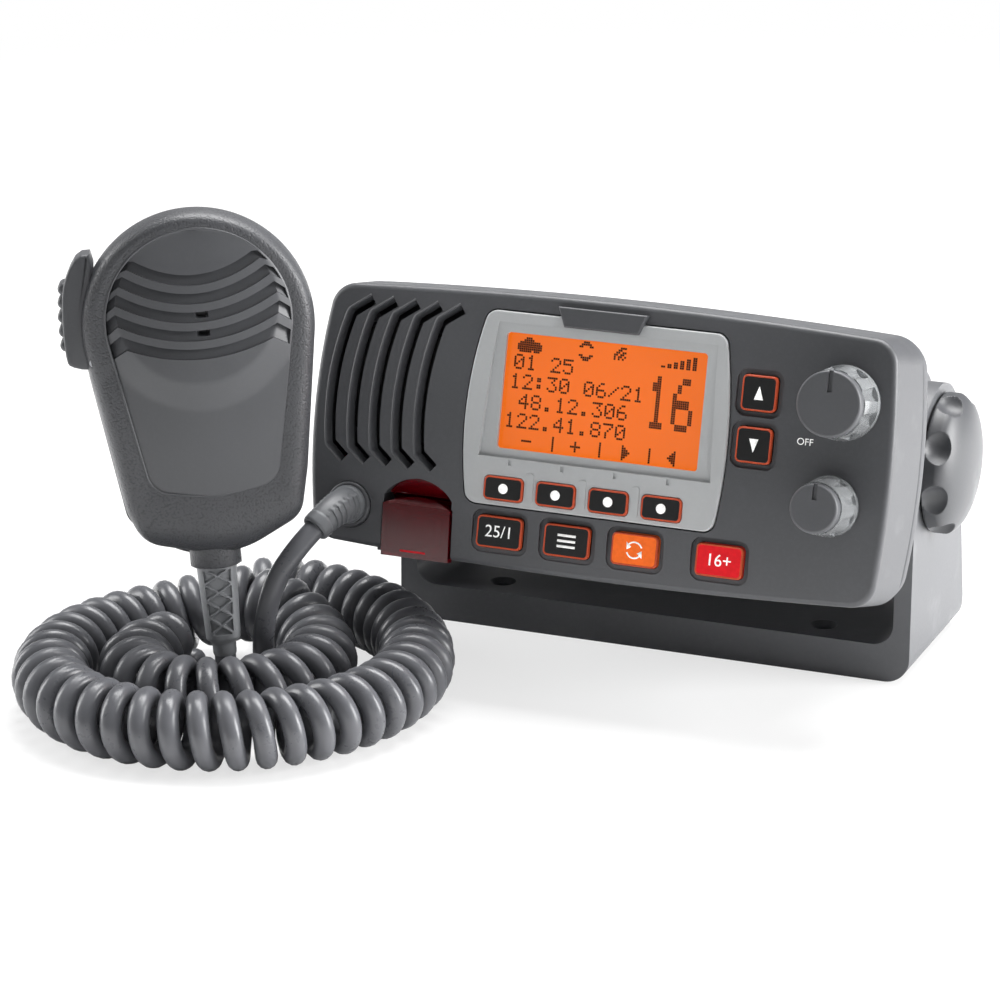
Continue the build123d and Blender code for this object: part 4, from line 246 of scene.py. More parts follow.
def softened(corners: list[tuple[float, float]], count: int, rounds: int = 3) -> np.ndarray:
    """Return a closed outline whose corners are cut again and again, evenly spaced.

    Args:
        corners: the outline's corners, counter-clockwise.
        count: how many points come back.
        rounds: how often each corner is cut at a quarter of its two sides.

    Returns:
        An array (count, 2).
    """
    line = np.array(corners, float)
    for _ in range(rounds):
        after = np.roll(line, -1, axis=0)
        line = np.stack([line * 0.75 + after * 0.25, line * 0.25 + after * 0.75], axis=1).reshape(-1, 2)
    line = np.concatenate([line, line[:1]])
    along = travelled_along(line)
    return spread(line, along, np.linspace(0, along[-1], count, endpoint=False))


def make_piece(name: str, shape: Shape, finish: "Finish", body: str | None,
               sharp: float = 32.0, thickness: float = 0.0) -> bpy.types.Object:
    """Make a Blender object of a shape, dress it and let it ride on a body.

    Args:
        name: the piece's name.
        shape: its points and faces.
        finish: its finish.
        body: the body it rides on, or None where it rides on none.
        sharp: the angle in degrees above which an edge stays crisp.
        thickness: in millimetres, what a Solidify modifier adds behind the faces.

    Returns:
        The new object.
    """
    mesh = bpy.data.meshes.new(name)
    faces = shape.quads.tolist() + shape.triangles.tolist() + shape.flats
    mesh.from_pydata(shape.points.tolist(), [], faces)
    mesh.update()
    mesh.shade_smooth()
    mesh.set_sharp_from_angle(angle=radians(sharp))
    piece = bpy.data.objects.new(name, mesh)
    bpy.context.scene.collection.objects.link(piece)
    mesh.materials.append(finish.material())
    if thickness:
        solid = piece.modifiers.new("thickness", "SOLIDIFY")
        solid.thickness, solid.offset = thickness * MM, -1.0
    if body:
        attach(piece, body)
    LOG.info("%s: %d faces on %s", name, len(faces), body)
    return piece


def dress(finish: "Finish", *nodes: str) -> None:
    """Give CAD nodes a finish through their material slots.

    Args:
        finish: what they are made of.
        nodes: their names.
    """
    for node in nodes:
        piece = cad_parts[node]
        if not piece.material_slots:
            piece.data.materials.append(None)
        for material_slot in piece.material_slots:
            material_slot.material = finish.material()
        LOG.info("%s: %s", node, type(finish).__name__)


# ================================================================ profiles and paths
def hull_outline(circles: list[tuple[float, float, float]], count: int) -> np.ndarray:
    """Return the outline stretched round circles, evenly spaced, counter-clockwise from the top.

    For each outward direction the outline's point lies on the circle that reaches furthest that way;
    the points are then spread evenly by arc length.

    Args:
        circles: each circle's centre and radius.
        count: how many points come back.

    Returns:
        An array (count, 2).
    """
    turn = np.linspace(0, 2 * pi, 4000) + pi / 2
    way = np.column_stack([np.cos(turn), np.sin(turn)])
    middles, radii = np.array(circles)[:, :2], np.array(circles)[:, 2]
    reach = way @ middles.T + radii
    furthest = reach.argmax(axis=1)
    outline = middles[furthest] + way * radii[furthest, None]
    along = travelled_along(outline)
    return spread(outline, along, np.linspace(0, along[-1], count, endpoint=False))


def rounded_rectangle(width: float, height: float, corner: float, count: int = 64) -> np.ndarray:
    """Return a rounded rectangle about the origin as the hull of its four corner circles."""
    u, v = width / 2 - corner, height / 2 - corner
    return hull_outline([(u, v, corner), (-u, v, corner), (-u, -v, corner), (u, -v, corner)], count)


def carried_normals(points: np.ndarray) -> tuple[np.ndarray, np.ndarray]:
    """Return two normals of a path, carried along it without twisting.

    Each ring's first normal is the one before it, made square to the new tangent.

    Args:
        points: the path (count, 3).

    Returns:
        The first and the second normals, each (count, 3).
    """
    tangents = np.gradient(points, axis=0)
    tangents /= np.linalg.norm(tangents, axis=1, keepdims=True)
    first = np.zeros_like(points)
    normal = np.cross(tangents[0], np.eye(3)[np.abs(tangents[0]).argmin()])
    for index, tangent in enumerate(tangents):
        normal = normal - tangent * (normal @ tangent)
        normal = normal / np.linalg.norm(normal)
        first[index] = normal
    return first, np.cross(tangents, first)


def tube_grid(path: np.ndarray, radius: float | np.ndarray, sides: int) -> np.ndarray:
    """Return rings of points round a path.

    A ring's point is path + radius (cos a * first + sin a * second), a from 0 to a full turn.

    Args:
        path: the middle line (rows, 3).
        radius: one radius, one for each row, or one for each point of the rings (rows, sides).
        sides: points in a ring.

    Returns:
        An array (rows, sides, 3).
    """
    first, second = carried_normals(path)
    around = np.arange(sides) / sides * 2 * pi
    reach = np.reshape(radius, (-1, 1)) if np.ndim(radius) < 2 else radius
    way = np.cos(around)[:, None] * first[:, None] + np.sin(around)[:, None] * second[:, None]
    return path[:, None] + np.broadcast_to(reach, (len(path), sides))[..., None] * way


def smooth(edge_low: float, edge_high: float, value: np.ndarray) -> np.ndarray:
    """Return 0 below the low edge, 1 above the high edge and 3t^2 - 2t^3 between them."""
    t = np.clip((value - edge_low) / (edge_high - edge_low), 0, 1)
    return t * t * (3 - 2 * t)


def travelled_along(points: np.ndarray) -> np.ndarray:
    """Return how far along a path each of its points lies."""
    return np.concatenate([[0], np.cumsum(np.linalg.norm(np.diff(points, axis=0), axis=1))])


def spread(points: np.ndarray, along: np.ndarray, places: np.ndarray) -> np.ndarray:
    """Return the points of a path at new places along it."""
    return np.column_stack([np.interp(places, along, axis) for axis in points.T])


# ================================================================ shader writing
class Sock:
    """A shader socket that takes part in sums, differences and products."""

    def __init__(self, recipe: "Recipe", socket: bpy.types.NodeSocket) -> None:
        """Keep the recipe and the socket."""
        self.recipe, self.socket = recipe, socket

    def _join(self, operation: str, first: "Sock | float", second: "Sock | float") -> "Sock":
        """Return a Math node's result."""
        return self.recipe.node("ShaderNodeMath", {"operation": operation}, {0: first, 1: second})

    def __add__(self, other: "Sock | float") -> "Sock":
        """Return self + other."""
        return self._join("ADD", self, other)

    def __rsub__(self, other: float) -> "Sock":
        """Return other - self."""
        return self._join("SUBTRACT", other, self)

    def __mul__(self, other: "Sock | float") -> "Sock":
        """Return self * other."""
        return self._join("MULTIPLY", self, other)

    def over(self, edge: float) -> "Sock":
        """Return 1 where the value is above the edge, else 0."""
        return self._join("GREATER_THAN", self, edge)

    def ramp(self, low: float, high: float) -> "Sock":
        """Return the value spread from low..high over 0..1, clipped and smoothed."""
        return self.recipe.node("ShaderNodeMapRange", {"interpolation_type": "SMOOTHSTEP"},
                                {"Value": self, "From Min": low, "From Max": high})


class Recipe:
    """The node tree of a material or of the world, while it is written."""

    def __init__(self, holder: bpy.types.Material | bpy.types.World) -> None:
        """Start with an empty tree.

        Args:
            holder: the material or world that the tree belongs to.
        """
        holder.use_nodes = True
        self.holder, self.tree = holder, holder.node_tree
        self.tree.nodes.clear()

    def node(self, kind: str, settings: dict | None = None, inputs: dict | None = None,
             output: int | str = 0) -> Sock:
        """Add a node.

        Args:
            kind: the node's type.
            settings: its own settings, set before anything is linked.
            inputs: values or sockets by input name or number.
            output: which output comes back.

        Returns:
            The chosen output.
        """
        made = self.tree.nodes.new(kind)
        for key, value in (settings or {}).items():
            setattr(made, key, value)
        for key, value in (inputs or {}).items():
            if isinstance(value, Sock):
                self.tree.links.new(value.socket, made.inputs[key])
            else:
                made.inputs[key].default_value = value
        return Sock(self, made.outputs[output])

    def place(self) -> Sock:
        """Return the object coordinates, in metres."""
        return self.node("ShaderNodeTexCoord", output="Object")

    def stretched(self, scale: tuple[float, float, float]) -> Sock:
        """Return the object coordinates stretched by a scale on each axis."""
        return self.node("ShaderNodeMapping", inputs={"Vector": self.place(), "Scale": scale})

    def distance(self, place: Sock) -> Sock:
        """Return how far a place lies from the origin, in metres."""
        return self.node("ShaderNodeVectorMath", {"operation": "LENGTH"}, {0: place}, "Value")

    def noise(self, size: float, detail: float = 2.0, place: Sock | None = None) -> Sock:
        """Return noise from 0 to 1 whose blotches are about size millimetres wide."""
        return self.node("ShaderNodeTexNoise", inputs={
            "Vector": place or self.place(), "Scale": 1 / (size * MM), "Detail": detail})

    def pebbles(self, size: float) -> Sock:
        """Return the smoothed distance to the nearest of scattered points about size millimetres apart."""
        return self.node("ShaderNodeTexVoronoi", {"feature": "SMOOTH_F1"},
                         {"Vector": self.place(), "Scale": 1 / (size * MM)})

    def mix(self, factor: Sock, first: Sock | tuple, second: Sock | tuple) -> Sock:
        """Return a colour between two colours."""
        return self.node("ShaderNodeMix", {"data_type": "RGBA"}, {0: factor, 6: first, 7: second}, 2)

    def bump(self, height: Sock, depth: float) -> Sock:
        """Return a normal roughened by a height, which spans depth millimetres."""
        return self.node("ShaderNodeBump", inputs={"Height": height, "Distance": depth * MM, "Strength": 1.0})

    def principled(self, inputs: dict) -> Sock:
        """Return a Principled shader."""
        return self.node("ShaderNodeBsdfPrincipled", inputs=inputs)

    def glow(self, kind: str, strength: float) -> Sock:
        """Return a white Emission or Background shader of a strength."""
        return self.node(f"ShaderNode{kind}", inputs={"Color": (1, 1, 1, 1), "Strength": strength})

    def blend(self, factor: Sock, first: Sock, second: Sock) -> Sock:
        """Return a shader between two shaders."""
        return self.node("ShaderNodeMixShader", inputs={0: factor, 1: first, 2: second})

    def close(self, shader: Sock, kind: str = "Material") -> bpy.types.Material | bpy.types.World:
        """Link the shader to the output of the holder's kind.

        Args:
            shader: what the surface, or the world, shows.
            kind: Material or World.

        Returns:
            The holder.
        """
        output = self.tree.nodes.new(f"ShaderNodeOutput{kind}")
        self.tree.links.new(shader.socket, output.inputs["Surface"])
        return self.holder


def hue(code: str, gain: float = 1.0) -> tuple[float, float, float, float]:
    """Return a screen colour as linear light.

    Args:
        code: the colour, such as "4b4c4f".
        gain: what its light is multiplied by.

    Returns:
        Red, green, blue and an alpha of 1.
    """
    values = np.array([int(code[i:i + 2], 16) for i in (0, 2, 4)]) / 255
    linear = np.where(values <= 0.04045, values / 12.92, ((values + 0.055) / 1.055) ** 2.4) * gain
    return (*np.clip(linear, 0, 1).tolist(), 1.0)


# ================================================================ finishes
@dataclass(frozen=True)
class Finish:
    """What a surface is made of; each kind writes its own shader."""

    name: str
    colour: str = "ffffff"
    roughness: float = 0.4

    @cache
    def material(self) -> bpy.types.Material:
        """Return the finish's material, made when it is first asked for."""
        recipe = Recipe(bpy.data.materials.new(self.name))
        return recipe.close(self.shader(recipe))

    def shader(self, recipe: Recipe) -> Sock:
        """Return the surface's shader, written in the recipe."""
        raise NotImplementedError

    def tones(self, share: Sock, first: float, second: float) -> Sock:
        """Return the finish's colour between two gains of it."""
        return share.recipe.mix(share, hue(self.colour, first), hue(self.colour, second))


@dataclass(frozen=True)
class MouldedPlastic(Finish):
    """Moulded plastic: a fine spark-eroded grain, faint flow marks and rubbed patches."""

    grain: float = 0.5
    depth: float = 0.05
    mottle: float = 0.10
    speck: float = 0.25

    def shader(self, recipe: Recipe) -> Sock:
        """Return the shader.

        Args:
            recipe: what it is written in.

        Returns:
            A Principled shader.
        """
        grain = recipe.noise(self.grain, 3.0)
        flow = recipe.noise(38.0, 3.0, recipe.stretched((1.0, 1.6, 0.7)))
        rubbed = recipe.noise(9.0, 4.0).ramp(0.55, 0.78)
        specks = recipe.noise(self.grain * 2.2, 1.0).ramp(0.40, 0.75)
        shade = self.tones(flow.ramp(0.3, 0.7), 1 - self.mottle, 1 + self.mottle)
        shade = recipe.mix(specks * self.speck, shade, hue(self.colour, 1.35))
        return recipe.principled({
            "Base Color": shade, "Roughness": rubbed * -0.07 + flow * 0.08 + (self.roughness - 0.02),
            "Normal": recipe.bump(grain, self.depth)})


@dataclass(frozen=True)
class LeatherGrain(Finish):
    """Plastic moulded with a pebbled, leather-like grain, its creases painted darker as shade."""

    pebble: float = 0.48
    depth: float = 0.075

    def shader(self, recipe: Recipe) -> Sock:
        """Return the shader.

        Args:
            recipe: what it is written in.

        Returns:
            A Principled shader.
        """
        crease_depth_and_shade = recipe.pebbles(self.pebble).ramp(0.35, 0.75)
        fine = recipe.noise(0.35, 2.0)
        wear = recipe.noise(14.0, 3.0).ramp(0.4, 0.7)
        # the colour falls from 1.12 on the pebbles to 0.80 in the creases: painted shade in the grain's
        # hollows
        shade = recipe.mix(wear * 0.15, self.tones(crease_depth_and_shade, 1.12, 0.80), hue(self.colour, 1.2))
        return recipe.principled({
            "Base Color": shade, "Roughness": crease_depth_and_shade * 0.12 + wear * -0.05 + self.roughness,
            "Normal": recipe.bump((1.0 - crease_depth_and_shade) + fine * 0.25, self.depth)})


@dataclass(frozen=True)
class CordJacket(Finish):
    """Smooth extruded jacket with a soft sheen, faint drawing lines and dust in the coils."""

    depth: float = 0.02

    def shader(self, recipe: Recipe) -> Sock:
        """Return the shader.

        Args:
            recipe: what it is written in.

        Returns:
            A Principled shader.
        """
        skin, fine = recipe.noise(1.4, 3.0), recipe.noise(0.25, 2.0)
        dust = recipe.noise(16.0, 4.0).ramp(0.42, 0.72)
        return recipe.principled({
            "Base Color": self.tones(dust * 0.6, 0.95, 1.12),
            "Roughness": dust * 0.12 + skin * 0.06 + (self.roughness - 0.05),
            "Specular IOR Level": 0.45, "Normal": recipe.bump(skin + fine * 0.4, self.depth)})


@dataclass(frozen=True)
class ClearPlastic(Finish):
    """Tinted clear plastic with fine moulding haze."""

    clearness: float = 0.6
    haze: float = 0.10

    def shader(self, recipe: Recipe) -> Sock:
        """Return the shader.

        Args:
            recipe: what it is written in.

        Returns:
            A Principled shader.
        """
        cloud = recipe.noise(7.0, 3.0)
        return recipe.principled({
            "Base Color": self.tones(cloud.ramp(0.3, 0.7), 0.92, 1.06),
            "Roughness": cloud * self.haze + (self.roughness - self.haze / 2),
            "Transmission Weight": self.clearness, "IOR": 1.46, "Specular IOR Level": 0.35,
            "Coat Weight": 0.1, "Coat Roughness": 0.08, "Normal": recipe.bump(recipe.noise(0.8, 2.0), 0.01)})


@dataclass(frozen=True)
class WindowPane(Finish):
    """A thin flat window: see-through, with a faint reflection and a trace of dust."""

    gloss: float = 0.35

    def shader(self, recipe: Recipe) -> Sock:
        """Return the shader.

        Args:
            recipe: what it is written in.

        Returns:
            A transparent shader with a little gloss over it.
        """
        dust = recipe.noise(3.0, 4.0).ramp(0.55, 0.85)
        edge = recipe.node("ShaderNodeFresnel", inputs={"IOR": 1.45})
        clear = recipe.node("ShaderNodeBsdfTransparent", inputs={"Color": (0.97, 0.97, 0.97, 1.0)})
        gloss = recipe.node("ShaderNodeBsdfGlossy", inputs={"Roughness": dust * 0.1 + 0.05})
        return recipe.blend(edge * self.gloss + dust * 0.01, clear, gloss)


@dataclass(frozen=True)
class Enamel(Finish):
    """Printed or moulded-in colour with a satin surface, slightly uneven ink and a painted glow, not a lamp.
    """

    # glow: emission strength, painted light that brightens the print and caps beyond what the lamps give
    glow: float = 0.0

    def shader(self, recipe: Recipe) -> Sock:
        """Return the shader.

        Args:
            recipe: what it is written in.

        Returns:
            A Principled shader.
        """
        ink = recipe.noise(1.2, 3.0)
        shade = self.tones(ink.ramp(0.3, 0.75), 0.93, 1.05)
        return recipe.principled({
            "Base Color": shade, "Roughness": ink * 0.1 + (self.roughness - 0.05),
            # the emission is a painted glow: the ink and caps are not lit from within
            "Emission Color": shade, "Emission Strength": self.glow,
            "Specular IOR Level": 0.3, "Normal": recipe.bump(recipe.noise(0.3, 2.0), 0.015)})


@dataclass(frozen=True)
class Backlight(Finish):
    """The display's glowing reflector, a little brighter in the middle than at its rim."""

    centre: tuple[float, float, float] = (0.0, 0.0, 0.0)

    def shader(self, recipe: Recipe) -> Sock:
        """Return the shader.

        Args:
            recipe: what it is written in.

        Returns:
            A Principled shader that glows.
        """
        middle = recipe.node("ShaderNodeMapping", inputs={
            "Vector": recipe.place(), "Location": tuple(-c * MM for c in self.centre)})
        fade = recipe.distance(middle).ramp(0.008, 0.036)
        cloud = recipe.noise(9.0, 2.0)
        shade = self.tones(fade * 0.6, 1.04, 0.88)
        shade = recipe.mix(cloud.ramp(0.35, 0.7) * 0.15, shade, hue(self.colour, 1.15))
        return recipe.principled({
            "Base Color": (0.02, 0.01, 0.005, 1.0), "Roughness": cloud * 0.1 + self.roughness,
            "Emission Color": shade, "Emission Strength": 1.0, "Normal": recipe.bump(cloud, 0.005)})


@dataclass(frozen=True)
class Metal(Finish):
    """Turned, cast or plated metal with fine tool marks and a few dull patches."""

    marks: float = 0.02

    def shader(self, recipe: Recipe) -> Sock:
        """Return the shader.

        Args:
            recipe: what it is written in.

        Returns:
            A Principled shader.
        """
        lines = recipe.noise(0.5, 3.0, recipe.stretched((1.0, 9.0, 9.0)))
        dull = recipe.noise(6.0, 4.0).ramp(0.45, 0.75)
        return recipe.principled({
            "Base Color": self.tones(dull * 0.5, 1.0, 0.8), "Metallic": 1.0,
            "Roughness": dull * 0.18 + lines * 0.08 + self.roughness,
            "Normal": recipe.bump(lines, self.marks)})


@dataclass(frozen=True)
class PaintedCasting(Finish):
    """Die-cast aluminium under dark textured paint."""

    def shader(self, recipe: Recipe) -> Sock:
        """Return the shader.

        Args:
            recipe: what it is written in.

        Returns:
            A Principled shader.
        """
        orange_peel = recipe.noise(0.9, 4.0)
        stain = recipe.noise(22.0, 3.0).ramp(0.35, 0.7)
        return recipe.principled({
            "Base Color": self.tones(stain, 0.9, 1.12),
            "Roughness": stain * 0.08 + orange_peel * 0.08 + (self.roughness - 0.08),
            "Normal": recipe.bump(orange_peel, 0.06)})


@dataclass(frozen=True)
class CircuitLaminate(Finish):
    """Green laminate with lighter tracks showing through the resist."""

    track: str = "3d8257"

    def shader(self, recipe: Recipe) -> Sock:
        """Return the shader.

        Args:
            recipe: what it is written in.

        Returns:
            A Principled shader.
        """
        tracks = recipe.noise(2.4, 0.0, recipe.stretched((1.0, 4.0, 1.0))).over(0.55)
        return recipe.principled({
            "Base Color": recipe.mix(tracks, hue(self.colour), hue(self.track)),
            "Roughness": tracks * -0.1 + self.roughness, "Normal": recipe.bump(tracks, 0.02)})


CASE_GREY = MouldedPlastic("case grey plastic", "47484b", 0.44, 0.45, 0.022, 0.06, 0.15)
PANEL_GREY = MouldedPlastic("microphone panel plastic", "47484b", 0.42, 0.40, 0.010, 0.05, 0.10)
# the grained finish paints shade into its grain's creases
GRAINED_GREY = LeatherGrain("microphone grained plastic", "3c3d40", 0.42)
TRIM_GREY = MouldedPlastic("display trim plastic", "acaeaf", 0.40, 0.40, 0.008, 0.03, 0.05)
BRACKET_GREY = MouldedPlastic("bracket plastic", "525356", 0.44, 0.55, 0.025, 0.06, 0.15)
KNOB_GREY = MouldedPlastic("knob plastic", "404144", 0.42, 0.45, 0.015, 0.06, 0.12)
CAP_GREY = MouldedPlastic("control cap plastic", "4c4d50", 0.42, 0.40, 0.010, 0.05, 0.10)
LEVER_GREY = MouldedPlastic("lever plastic", "424346", 0.44, 0.40, 0.015, 0.06, 0.12)
BLACK_PLASTIC = MouldedPlastic("black plastic", "1c1c1e", 0.45, 0.50, 0.03)
KEY_BLACK = MouldedPlastic("key black", "070708", 0.34, 0.40, 0.005, 0.05, 0.05)
CORD_GREY = CordJacket("cord jacket", "58595d", 0.30)
BOOT_GREY = MouldedPlastic("boot rubber", "7d7f82", 0.44, 0.50, 0.020, 0.06, 0.12)
ELBOW_GREY = MouldedPlastic("elbow rubber", "5f6164", 0.42, 0.50, 0.020, 0.06, 0.12)
SEAL_RUBBER = MouldedPlastic("seal rubber", "0c0c0d", 0.65, 0.60, 0.03)
SKIRT_CLEAR = ClearPlastic("clear skirt plastic", "dfe2e4", 0.12, clearness=0.80)
COVER_RED = ClearPlastic("distress cover plastic", "66030e", 0.09, clearness=0.50, haze=0.05)
# the last number of each of these Enamels is its painted glow: emission that brightens the button, print,
# rims and caps
BUTTON_RED = Enamel("distress button", "d01020", 0.35, 0.05)
MARK_WHITE = Enamel("white print", "f4f4f2", 0.4, 0.25)
KEY_RIM = Enamel("key rim orange", "b5482a", 0.36, 0.10)
KEY_ORANGE = Enamel("replay key orange", "f06a20", 0.36, 0.15)
KEY_RED = Enamel("channel sixteen key red", "d0101c", 0.36, 0.20)
LCD_DOT = Enamel("display dots", "160a06", 0.5)
LCD_SHADE = Enamel("display shaded dots", "3c1a0c", 0.5)
STEEL = Metal("stainless steel", "b9bbbe", 0.24)
BRASS = Metal("brass", "c9a45c", 0.26)
CHROME = Metal("plated socket", "cfd2d6", 0.14, 0.008)
CASTING = PaintedCasting("painted casting", "4a4b4e", 0.55)
LAMINATE = CircuitLaminate("circuit laminate", "1f5b3a")
PANE = WindowPane("window pane", gloss=0.06)


# ================================================================ studio
@dataclass
class Studio:
    """The camera, the pale floor and the soft lamps."""

    camera_at: tuple[float, float, float] = (345.95, -983.92, 377.15)
    looks_along: tuple[float, float, float] = (-0.3597, 0.8796, -0.3112)
    lens: float = 137.8
    floor_rings: tuple = (0.0005, 300.0, 900.0, 3000.0, 9000.0)
    floor_sides: int = 96
    floor_level: float = -0.05
    floor_share: float = 0.70
    world_strength: float = 0.31
    lamps_face: tuple[float, float, float] = (-30.0, -20.0, 50.0)
    lamps: tuple = (("overhead box", (0, 320, 1100), (1100, 600), 27.0),
                    ("right box", (1150, 260, 380), (500, 900), 31.0),
                    ("left box", (-1000, -150, 300), (320, 800), 7.0))

    def set_camera(self) -> None:
        """Place the camera and make it the scene's."""
        data = bpy.data.cameras.new("camera")
        data.lens, data.sensor_width, data.clip_end = self.lens, 36.0, 60.0
        camera = bpy.data.objects.new("camera", data)
        camera.location = Vector(self.camera_at) * MM
        camera.rotation_euler = Vector(self.looks_along).to_track_quat("-Z", "Y").to_euler()
        bpy.context.scene.collection.objects.link(camera)
        bpy.context.scene.camera = camera

    def set_floor(self) -> None:
        """Lay a round floor as rings r * (cos a, sin a)."""
        reach = np.array(self.floor_rings)[:, None]
        around = np.linspace(0, 2 * pi, self.floor_sides, endpoint=False)
        level = np.full((len(reach), self.floor_sides), self.floor_level)
        grid = np.stack([reach * np.cos(around), reach * np.sin(around), level], axis=-1)[::-1] * MM
        shape = ring_shape(grid, close_end=True)
        mesh = bpy.data.meshes.new("floor")
        mesh.from_pydata(shape.points.tolist(), [], shape.quads.tolist() + shape.triangles.tolist())
        mesh.materials.append(self.floor_material())
        floor = bpy.data.objects.new("floor", mesh)
        bpy.context.scene.collection.objects.link(floor)

    def floor_material(self) -> bpy.types.Material:
        """Write the floor: a soft shadow round the radio, and white to the camera further out.

        Returns:
            The floor's material.
        """
        recipe = Recipe(bpy.data.materials.new("pale floor"))
        away = recipe.distance(recipe.place()).ramp(0.35, 0.9)
        white = self.seen(recipe) * (away * (1 - self.floor_share) + self.floor_share)
        matte = recipe.node("ShaderNodeBsdfDiffuse", inputs={"Color": (0.93, 0.93, 0.93, 1.0)})
        return recipe.close(recipe.blend(white, matte, recipe.glow("Emission", 1.0)))

    @staticmethod
    def seen(recipe: Recipe) -> Sock:
        """Return 1 for rays that come from the camera or through glass.

        Args:
            recipe: what the nodes are written in.

        Returns:
            A clamped sum of the two kinds of ray.
        """
        camera, through = (recipe.node("ShaderNodeLightPath", output=kind)
                           for kind in ("Is Camera Ray", "Is Transmission Ray"))
        return recipe.node("ShaderNodeMath", {"operation": "ADD", "use_clamp": True}, {0: camera, 1: through})

    def set_world(self) -> None:
        """Light everything evenly and show white behind the object."""
        world = bpy.context.scene.world = bpy.data.worlds.new("studio")
        recipe = Recipe(world)
        even, white = (recipe.glow("Background", strength) for strength in (self.world_strength, 1.0))
        recipe.close(recipe.blend(self.seen(recipe), even, white), "World")

    def add_lamp(self, name: str, place: tuple[float, float, float], size: tuple[float, float],
                 power: float) -> None:
        """Add one soft box.

        Args:
            name: the lamp's name.
            place: where it hangs, in millimetres; it faces the radio.
            size: its width and height, in millimetres.
            power: in watts.
        """
        data = bpy.data.lights.new(name, "AREA")
        data.shape, data.size, data.size_y, data.energy = "RECTANGLE", size[0] * MM, size[1] * MM, power
        lamp = bpy.data.objects.new(name, data)
        lamp.location = Vector(place) * MM
        way = Vector(self.lamps_face) * MM - lamp.location
        lamp.rotation_euler = way.to_track_quat("-Z", "Y").to_euler()
        bpy.context.scene.collection.objects.link(lamp)

    def build(self) -> None:
        """Build the whole studio."""
        bpy.context.scene.view_settings.view_transform = "Standard"
        self.set_camera()
        self.set_floor()
        self.set_world()
        for lamp in self.lamps:
            self.add_lamp(*lamp)
        LOG.info("studio ready")


